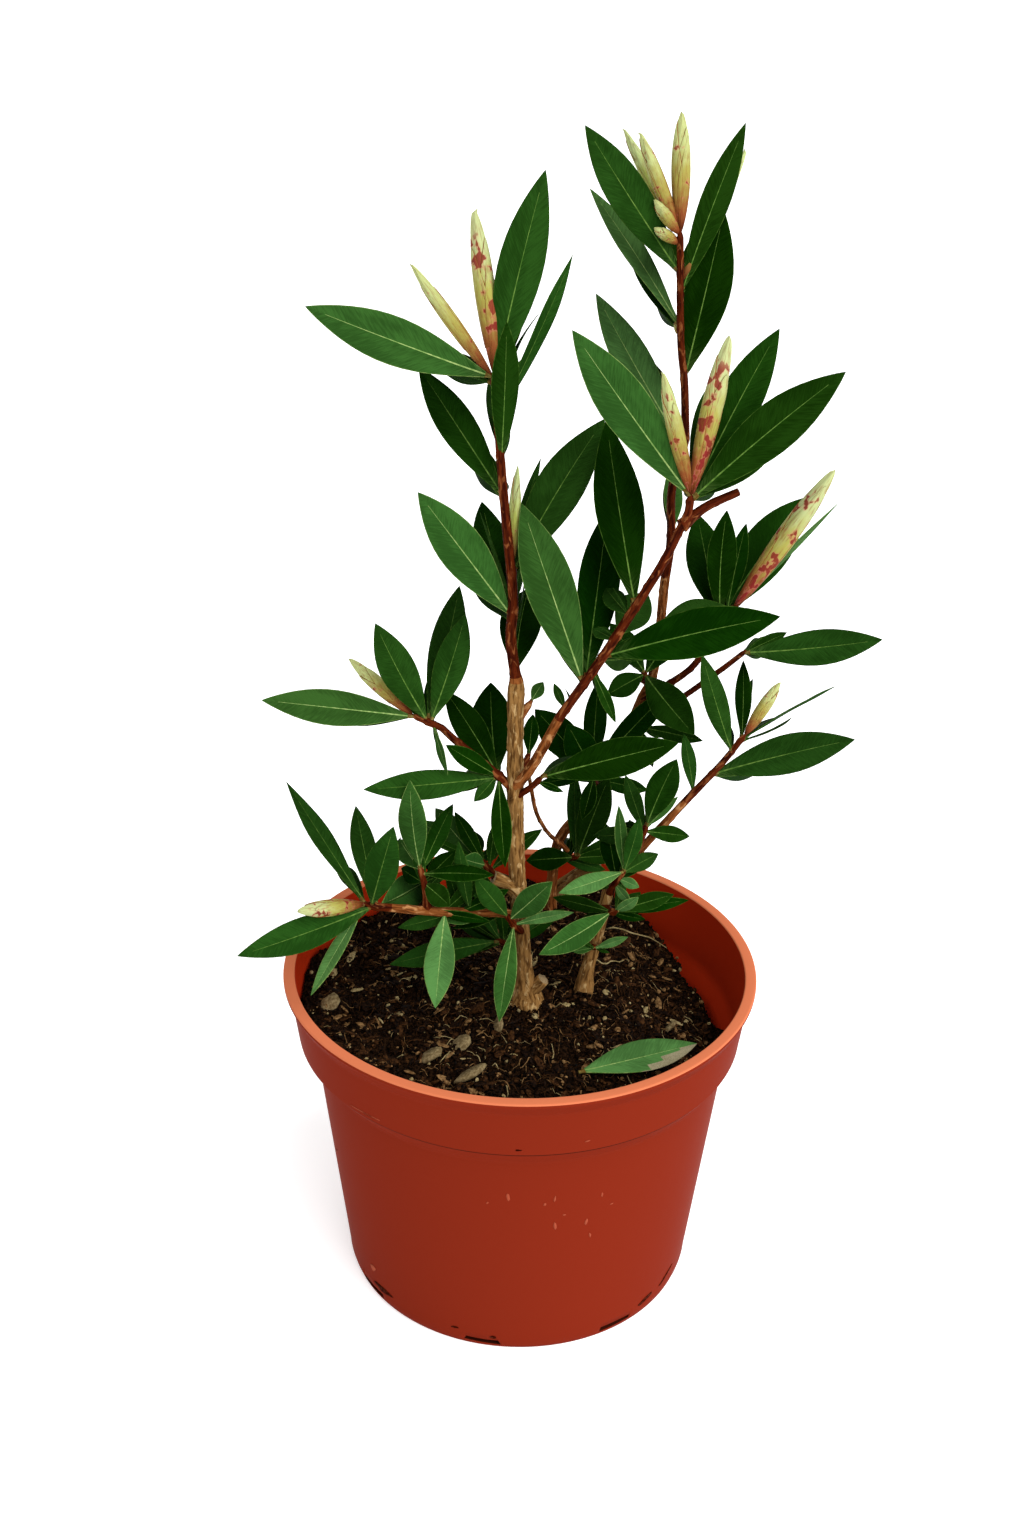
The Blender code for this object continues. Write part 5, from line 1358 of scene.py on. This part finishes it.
def make_litter(looks):
    """Crumbs, fibres and chips on the soil, and the few that the front view picks out."""
    crumbs = Heap("soil_crumbs", LITTER_FINISHES)
    form = crumb_form()
    for k in range(CRUMBS):
        x, y = soil_spot(looks, CRUMB_MARGIN)
        size = looks.uniform(*CRUMB_SPREAD) ** 2 * CRUMB_SIZE * MM
        tint = pick(looks, CRUMB_MIX)
        add_crumb(crumbs, form, ground(x, y, size * 0.2), size, tint, looks)
    crumbs.piece("soil", smooth=False)
    fibres = Heap("soil_fibres", LITTER_FINISHES)
    for k in range(FIBRES):
        x, y = soil_spot(looks, FIBRE_MARGIN)
        length = looks.uniform(*FIBRE_LENGTH) * MM
        thick = looks.uniform(*FIBRE_RADIUS) * MM
        tint = pick(looks, FIBRE_MIX)
        angle, curl = looks.uniform(0, 6.3), looks.uniform(*FIBRE_CURL)
        add_fibre(fibres, x, y, angle, length, thick, curl, tint, looks, FIBRE_LIFT)
    pale = LITTER_FINISHES.index("litter_pale")
    for (x, y), (x1, y1), thick in ROOT_LINES:
        line = Vector((x1 - x, y1 - y, 0)) * MM
        angle = math.atan2(line.y, line.x)
        add_fibre(fibres, x * MM, y * MM, angle, line.length, thick * MM, ROOT_CURL, pale, looks, ROOT_LIFT)
    fibres.piece("soil")
    chips = Heap("soil_chips", LITTER_FINISHES)
    for k in range(CHIPS):
        x, y = soil_spot(looks, CHIP_MARGIN)
        size = [looks.uniform(*span) * MM for span in CHIP_SIZE]
        tint = pick(looks, CHIP_MIX)
        turn, tilt = looks.uniform(0, 6.3), looks.uniform(*CHIP_TILT)
        add_chip(chips, ground(x, y, CHIP_LIFT), size, turn, tilt, tint, looks)
    for (x, y), (length, width), turn, tint in NAMED_CHIPS:
        size = (length * MM, width * MM, NAMED_THICKNESS * MM)
        spot = ground(x * MM, y * MM, NAMED_LIFT)
        add_chip(chips, spot, size, math.radians(turn), NAMED_TILT, tint, looks)
    chips.piece("soil")


class Value:
    """What a material's node gives, open to plain arithmetic."""

    def __init__(self, paint, socket):
        self.paint = paint
        self.socket = socket

    def __add__(self, other):
        return self.paint.maths("ADD", self, other)

    def __sub__(self, other):
        return self.paint.maths("SUBTRACT", self, other)

    def __mul__(self, other):
        return self.paint.maths("MULTIPLY", self, other)

    def step(self, low, high):
        """A smooth step from 0 at low to 1 at high."""
        return self.paint.node("MapRange", {"Value": self, "From Min": low, "From Max": high}, "Result",
                               interpolation_type="SMOOTHSTEP")


class Paint:
    """A short way to wire the nodes of one material."""

    def __init__(self, name, specular):
        self.material = bpy.data.materials.new(name)
        self.material.use_nodes = True
        self.tree = self.material.node_tree
        self.shader = self.tree.nodes["Principled BSDF"]
        self.shader.inputs["Specular IOR Level"].default_value = specular

    def put(self, socket, value):
        if isinstance(value, Value):
            self.tree.links.new(value.socket, socket)
        elif socket.type == "RGBA" and len(value) == 3:
            socket.default_value = colour(value)
        else:
            socket.default_value = value

    def node(self, kind, inputs, output=0, **settings):
        """A new node's output; the inputs are values, numbers or colours."""
        made = self.tree.nodes.new("ShaderNode" + kind)
        for name, value in settings.items():
            setattr(made, name, value)
        for name, value in inputs.items():
            self.put(made.inputs[name], value)
        return Value(self, made.outputs[output])

    def place(self, stretch=(1, 1, 1)):
        """The form's own grain in millimetres, stretched."""
        grain = self.node("Attribute", {}, "Vector", attribute_name="place")
        return self.node("VectorMath", {0: grain, 1: stretch}, operation="MULTIPLY")

    def noise(self, scale, detail=3.0, distortion=0.0, stretch=(1, 1, 1), at=None):
        """Noise over the form's own grain, or over another place."""
        vector = at or self.place(stretch)
        return self.node("TexNoise", {"Vector": vector, "Scale": scale, "Detail": detail,
                                      "Distortion": distortion}, "Fac")

    def maths(self, operation, *values):
        return self.node("Math", dict(enumerate(values)), operation=operation)

    def axes(self, vector):
        first = self.node("SeparateXYZ", {0: vector})
        return [Value(self, socket) for socket in first.socket.node.outputs]

    def coats(self, surface, *coats):
        """A colour with others laid over it, each after the share that it covers."""
        for share, tint in coats:
            surface = self.node("Mix", {0: share, 6: surface, 7: tint}, 2, data_type="RGBA")
        return surface

    def wear(self, surface, roughness, height=None, depth=0.1):
        """Wire colour, roughness and a bump of a depth in millimetres to the shader."""
        self.put(self.shader.inputs["Base Color"], surface)
        self.put(self.shader.inputs["Roughness"], roughness)
        if height is not None:
            bump = self.node("Bump", {"Strength": 1.0, "Distance": depth * MM, "Height": height})
            self.put(self.shader.inputs["Normal"], bump)
        return self.material


def colour(rgb):
    """A named colour of 0 to 255 as dimmed scene-linear light."""
    return (*[DIMMED * (channel / 255) ** 2.2 for channel in rgb], 1)


def leaf_finish(name, green):
    """Leaf surface: an even green with fine streaks along its side veins, paler toward the stalk, one half a
    little lighter, painted light.
    """
    paint = Paint(name, LEAF_SHINE)
    share, across, number = paint.axes(paint.place())
    slant = share * 55.0 - paint.maths("ABSOLUTE", across) * 1.1
    grain = paint.node("CombineXYZ", {0: slant, 1: across * 0.22, 2: number * 60.0})
    streak = paint.noise(1.7, 4.0, at=grain)
    cloud = paint.noise(0.16, 2.0, stretch=(20, 1, 60))
    veins = paint.maths("SINE", slant * 3.4).step(0.7, 1.0)
    # The term across the midrib is painted light: one half of the blade a little lighter.
    mottle_and_lit_half = streak * 0.5 + cloud * 0.5 + across.step(-0.4, 0.4) * 0.07
    dark = tuple(0.9 * channel for channel in green)
    light = tuple(1.12 * channel + 3 for channel in green)
    pale = tuple(0.5 * channel + bright for channel, bright in zip(green, (66, 76, 46)))
    base = share.step(0.24, 0.03) * streak.step(0.35, 0.65)
    shade = paint.coats(dark, (mottle_and_lit_half.step(0.4, 0.68), light), (veins * 0.12, light), (base * 0.55, pale))
    tone = paint.node("HueSaturation", {"Hue": number * 0.012 + 0.494, "Saturation": 1.0,
                                        "Value": number * 0.22 + 0.9, "Color": shade})
    return paint.wear(tone, streak * 0.2 + 0.34, veins * -0.4 + streak, 0.05)


def under_finish(name, dark, light):
    """Underside of a leaf: dull and speckled."""
    paint = Paint(name, LEAF_SHINE)
    speck = paint.noise(2.0, stretch=(55, 1, 60))
    cloud = paint.noise(0.2, stretch=(55, 1, 60))
    shade = paint.coats(dark, ((speck + cloud * 0.6).step(0.55, 1.1), light))
    return paint.wear(shade, speck + 0.1, speck, 0.08)


def stripe_finish(name, dark, light):
    """Midrib, margin or stalk: a pale line with a faint change along it."""
    paint = Paint(name, LEAF_SHINE)
    cloud = paint.noise(0.5, 2.0, stretch=(55, 1, 60))
    return paint.wear(paint.coats(dark, (cloud.step(0.35, 0.7), light)), cloud + 0.05, cloud, 0.05)


def bark_finish(name, dark, middle, light, roughness, depth):
    """Bark with streaks along the stem, small cracks and paler flakes."""
    paint = Paint(name, BARK_SHINE)
    streak = paint.noise(1.1, 5.0, 0.4)
    flake = paint.noise(0.55, 3.0, 0.8, stretch=(1, 1, 3))
    fine = paint.noise(4.5)
    shade = paint.coats(dark, (streak.step(0.32, 0.62), middle), (flake.step(0.54, 0.68), light),
                        (fine.step(0.62, 0.75), dark))
    return paint.wear(shade, fine * 0.3 + (roughness - 0.15), streak + fine * 0.5, depth)


def cut_finish(name, dark, light):
    """Sawn end of a stem: pale wood with a darker heart."""
    paint = Paint(name, WOOD_SHINE)
    x, y, z = paint.axes(paint.place())
    rings = paint.maths("SINE", paint.maths("SQRT", x * x + y * y) * 9.0)
    grit = paint.noise(3.0)
    share = rings.step(-0.6, 1.0) * grit.step(0.3, 0.6)
    return paint.wear(paint.coats(dark, (share, light)), grit + 0.3, grit, 0.15)


def bud_finish(name, foot, middle, tip, blots):
    """Bud: brown at the foot, yellow in the middle and green at the point, with crimson blots."""
    paint = Paint(name, BUD_SHINE)
    far = paint.axes(paint.place())[0]
    cloud = paint.noise(0.3)
    fine = paint.noise(0.9, stretch=(0.3, 1, 1))
    patch = paint.noise(0.5, 2.0, stretch=(0.62, 0.3, 0.3))
    along_bud = far + (cloud - 0.5) * 14.0 + (fine - 0.5) * 8.0
    off_tip = far.step(36.0, 30.0)
    halo = patch.step(blots - 0.05, blots + 0.05) * off_tip
    blot = patch.step(blots + 0.02, blots + 0.05) * off_tip
    shade = paint.coats(foot, (along_bud.step(5.0, 19.0), middle), (along_bud.step(17.0, 31.0), tip),
                        (far.step(7.0, 0.0), (84, 32, 16)), (halo * 0.6, (214, 118, 104)),
                        (blot * 0.85, (132, 18, 30)), (fine.step(0.5, 0.66) * 0.5, (150, 92, 48)))
    return paint.wear(shade, fine * 0.3 + 0.35, fine, 0.12)


def plastic(name, body, worn, roughness):
    """Moulded plastic, a little dusty, with fine grain and faint cloudiness."""
    paint = Paint(name, POT_SHINE)
    cloud = paint.noise(0.035, 4.0, 0.4)
    streak = paint.noise(0.05, 4.0, stretch=(1, 1, 7))
    grain = paint.noise(2.2)
    speck = paint.noise(0.8, 2.0)
    height = paint.axes(paint.place())[2]
    faded = cloud.step(0.35, 0.7) * 0.20 + streak.step(0.45, 0.75) * 0.10
    foot = height.step(40.0, 2.0) * streak.step(0.2, 0.75)
    dust = height.step(15.0, 3.0) * speck.step(0.4, 0.7)
    shade = paint.coats(body, (faded, worn), (foot * 0.75, worn), (dust * 0.35, (172, 92, 68)),
                        (speck.step(0.72, 0.8) * 0.3, worn))
    return paint.wear(shade, cloud * 0.25 + (roughness - 0.1), grain + speck * 0.6, 0.05)


def pot_inside_finish(name, underlying, paler_red, painted_light_orange):
    """Inside of the pot: dark red, and below a soft line near 106 mm on the right a bright orange patch of
    painted light.
    """
    paint = Paint(name, INSIDE_SHINE)
    x, y, z = paint.axes(paint.place())
    cloud = paint.noise(0.09, 4.0)
    grit = paint.noise(0.8)
    # Painted light: the bright orange patch covers the right side of the wall below about 106 mm.
    low = (z + (cloud - 0.5) * 5.0).step(108.0, 104.0)
    side = low * y.step(46.0, 24.0) * x.step(30.0, 55.0)
    shade = paint.coats(underlying, (cloud.step(0.3, 0.7), paler_red), (side, painted_light_orange))
    return paint.wear(shade, grit * 0.3 + 0.35, grit, 0.06)


def soil_finish(name, dark, light, painted_glint, dusty):
    """Dark peat with browner grains and painted highlights for damp glints."""
    paint = Paint(name, EARTH_SHINE)
    grain = paint.noise(0.9, 5.0)
    cloud = paint.noise(0.12)
    fine = paint.noise(3.4)
    # The fine lighter flecks are painted highlights.
    shade = paint.coats(dark, (grain.step(0.4, 0.66), light), (fine.step(0.6, 0.72) * 0.7, painted_glint),
                        (cloud.step(0.5, 0.75) * 0.35, dusty))
    return paint.wear(shade, grain.step(0.45, 0.7) * -0.45 + 1.0, grain + fine * 0.5, 0.9)


def litter_finish(name, dark, light, roughness):
    """Crumb, fibre or chip."""
    paint = Paint(name, EARTH_SHINE)
    grain = paint.noise(1.1, 4.0)
    shade = paint.coats(dark, (grain.step(0.35, 0.68), light))
    return paint.wear(shade, grain * 0.5 + (roughness - 0.25), grain, 0.2)


def floor_finish(name, dark, light):
    """Plain pale floor, faintly lit."""
    paint = Paint(name, FLOOR_SHINE)
    cloud = paint.noise(3.0, 2.0, at=paint.node("NewGeometry", {}, "Position"))
    paint.shader.inputs["Emission Color"].default_value = (1, 1, 1, 1)
    paint.shader.inputs["Emission Strength"].default_value = FLOOR_GLOW
    return paint.wear(paint.coats(dark, (cloud, light)), 0.9)


# How each finish is made, its colours of 0 to 255, and its roughness or the like
FINISHES = {
    "under": (under_finish, (36, 62, 22), (56, 86, 38)),
    "rib_dark": (stripe_finish, (76, 112, 46), (118, 152, 72)),
    "rib_light": (stripe_finish, (122, 160, 84), (178, 202, 124)),
    "edge_dark": (stripe_finish, (40, 72, 24), (78, 108, 44)),
    "edge_light": (stripe_finish, (92, 128, 60), (140, 166, 92)),
    "stalk": (stripe_finish, (104, 78, 36), (150, 138, 78)),
    "dry": (under_finish, (140, 132, 100), (186, 176, 142)),
    "bark_tan": (bark_finish, (92, 61, 31), (168, 124, 72), (210, 172, 116), 0.85, 0.35),
    "bark_brown": (bark_finish, (84, 42, 18), (156, 92, 48), (202, 144, 92), 0.8, 0.25),
    "bark_red": (bark_finish, (52, 17, 7), (98, 40, 17), (150, 88, 50), 0.6, 0.12),
    "cut_wood": (cut_finish, (150, 122, 84), (190, 165, 125)),
    "bud": (bud_finish, (146, 78, 44), (178, 168, 84), (206, 216, 142), 0.66),
    "bud_blotched": (bud_finish, (150, 86, 48), (184, 178, 88), (206, 216, 150), 0.55),
    "bud_green": (bud_finish, (156, 112, 62), (180, 190, 92), (206, 222, 150), 0.7),
    "bud_edge": (stripe_finish, (136, 62, 36), (170, 120, 66)),
    "pot_clay": (plastic, (130, 31, 12), (148, 50, 30), 0.42),
    # Painted light: the lip is the body's plastic, painted much lighter where its top faces the light from
    # above.
    "pot_lip": (plastic, (240, 126, 82), (250, 148, 106), 0.42),
    # Painted shade: the dark line under the overhang of the collar.
    "pot_groove": (plastic, (56, 13, 6), (76, 22, 11), 0.5),
    # Painted light: the inside's reds are brighter than the outside's to make up for its shade, and the
    # orange is a painted patch of light.
    "pot_inside": (pot_inside_finish, (200, 50, 22), (220, 64, 30), (255, 150, 84)),
    "scuff": (plastic, (180, 84, 60), (198, 106, 82), 0.6),
    # Dark nicks; the same finish is painted shade on the walls of the drain slots.
    "nick": (plastic, (52, 14, 7), (76, 28, 16), 0.6),
    # The third colour is the painted highlights of damp glints.
    "peat": (soil_finish, (8, 5, 3), (50, 33, 20), (84, 56, 32), (40, 26, 16)),
    "litter_dark": (litter_finish, (8, 5, 3), (46, 30, 19), 0.6),
    "litter_brown": (litter_finish, (38, 23, 13), (82, 54, 31), 0.7),
    "litter_tan": (litter_finish, (98, 70, 42), (160, 124, 82), 0.75),
    "litter_chip": (litter_finish, (112, 94, 64), (158, 138, 100), 0.75),
    "litter_pale": (litter_finish, (142, 122, 80), (192, 172, 124), 0.75),
    "floor": (floor_finish, (0.90, 0.90, 0.90, 1), (0.93, 0.93, 0.93, 1)),
}
FINISHES.update({f"green_{k}": (leaf_finish, green) for k, green in enumerate(LEAF_GREENS)})


def finish(name):
    """The named material, made once."""
    maker, *looks = FINISHES[name]
    return bpy.data.materials.get(name) or maker(name, *looks)


def make_camera():
    """The photograph's view: from a standing height, looking down at the pot."""
    data = bpy.data.cameras.new("front_view")
    data.sensor_width = SENSOR
    data.lens = CAMERA_LENS
    up = Vector((0, math.sin(CAMERA_PITCH), math.cos(CAMERA_PITCH)))
    side = SIDE * math.cos(CAMERA_ROLL) + up * math.sin(CAMERA_ROLL)
    rise = up * math.cos(CAMERA_ROLL) - SIDE * math.sin(CAMERA_ROLL)
    turn = Matrix((side, rise, side.cross(rise))).transposed().to_4x4()
    camera = in_scene("front_view", data)
    camera.matrix_world = Matrix.Translation(EYE) @ turn
    bpy.context.scene.camera = camera


def make_stage():
    """Pale floor, soft sun from the front right and an even white sky."""
    mesh = bpy.data.meshes.new("floor")
    reach = FLOOR_REACH
    corners = [(-reach, -reach, 0), (reach, -reach, 0), (reach, reach, 0), (-reach, reach, 0)]
    mesh.from_pydata(corners, [], [(0, 1, 2, 3)])
    mesh.materials.append(finish("floor"))
    floor = in_scene("floor", mesh)
    sun = bpy.data.lights.new("sun", "SUN")
    sun.energy = SUN_STRENGTH
    sun.angle = math.radians(SUN_SPREAD)
    in_scene("sun", sun).rotation_euler = Vector(SUN_FROM).to_track_quat("Z", "Y").to_euler()
    world = bpy.data.worlds.new("sky")
    world.use_nodes = True
    sky = world.node_tree.nodes["Background"]
    sky.inputs["Color"].default_value = (1, 1, 1, 1)
    sky.inputs["Strength"].default_value = SKY_STRENGTH
    bpy.context.scene.world = world
    bpy.context.scene.view_settings.view_transform = "Standard"


def main():
    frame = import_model()
    solid_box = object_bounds()
    make_camera()
    make_stage()
    looks = random.Random(11)
    make_pot(looks)
    make_marks(looks)
    make_soil()
    make_stems(looks)
    make_foliage(frame, solid_box[1][1], looks)
    make_fallen_leaf(looks)
    make_litter(looks)


main()
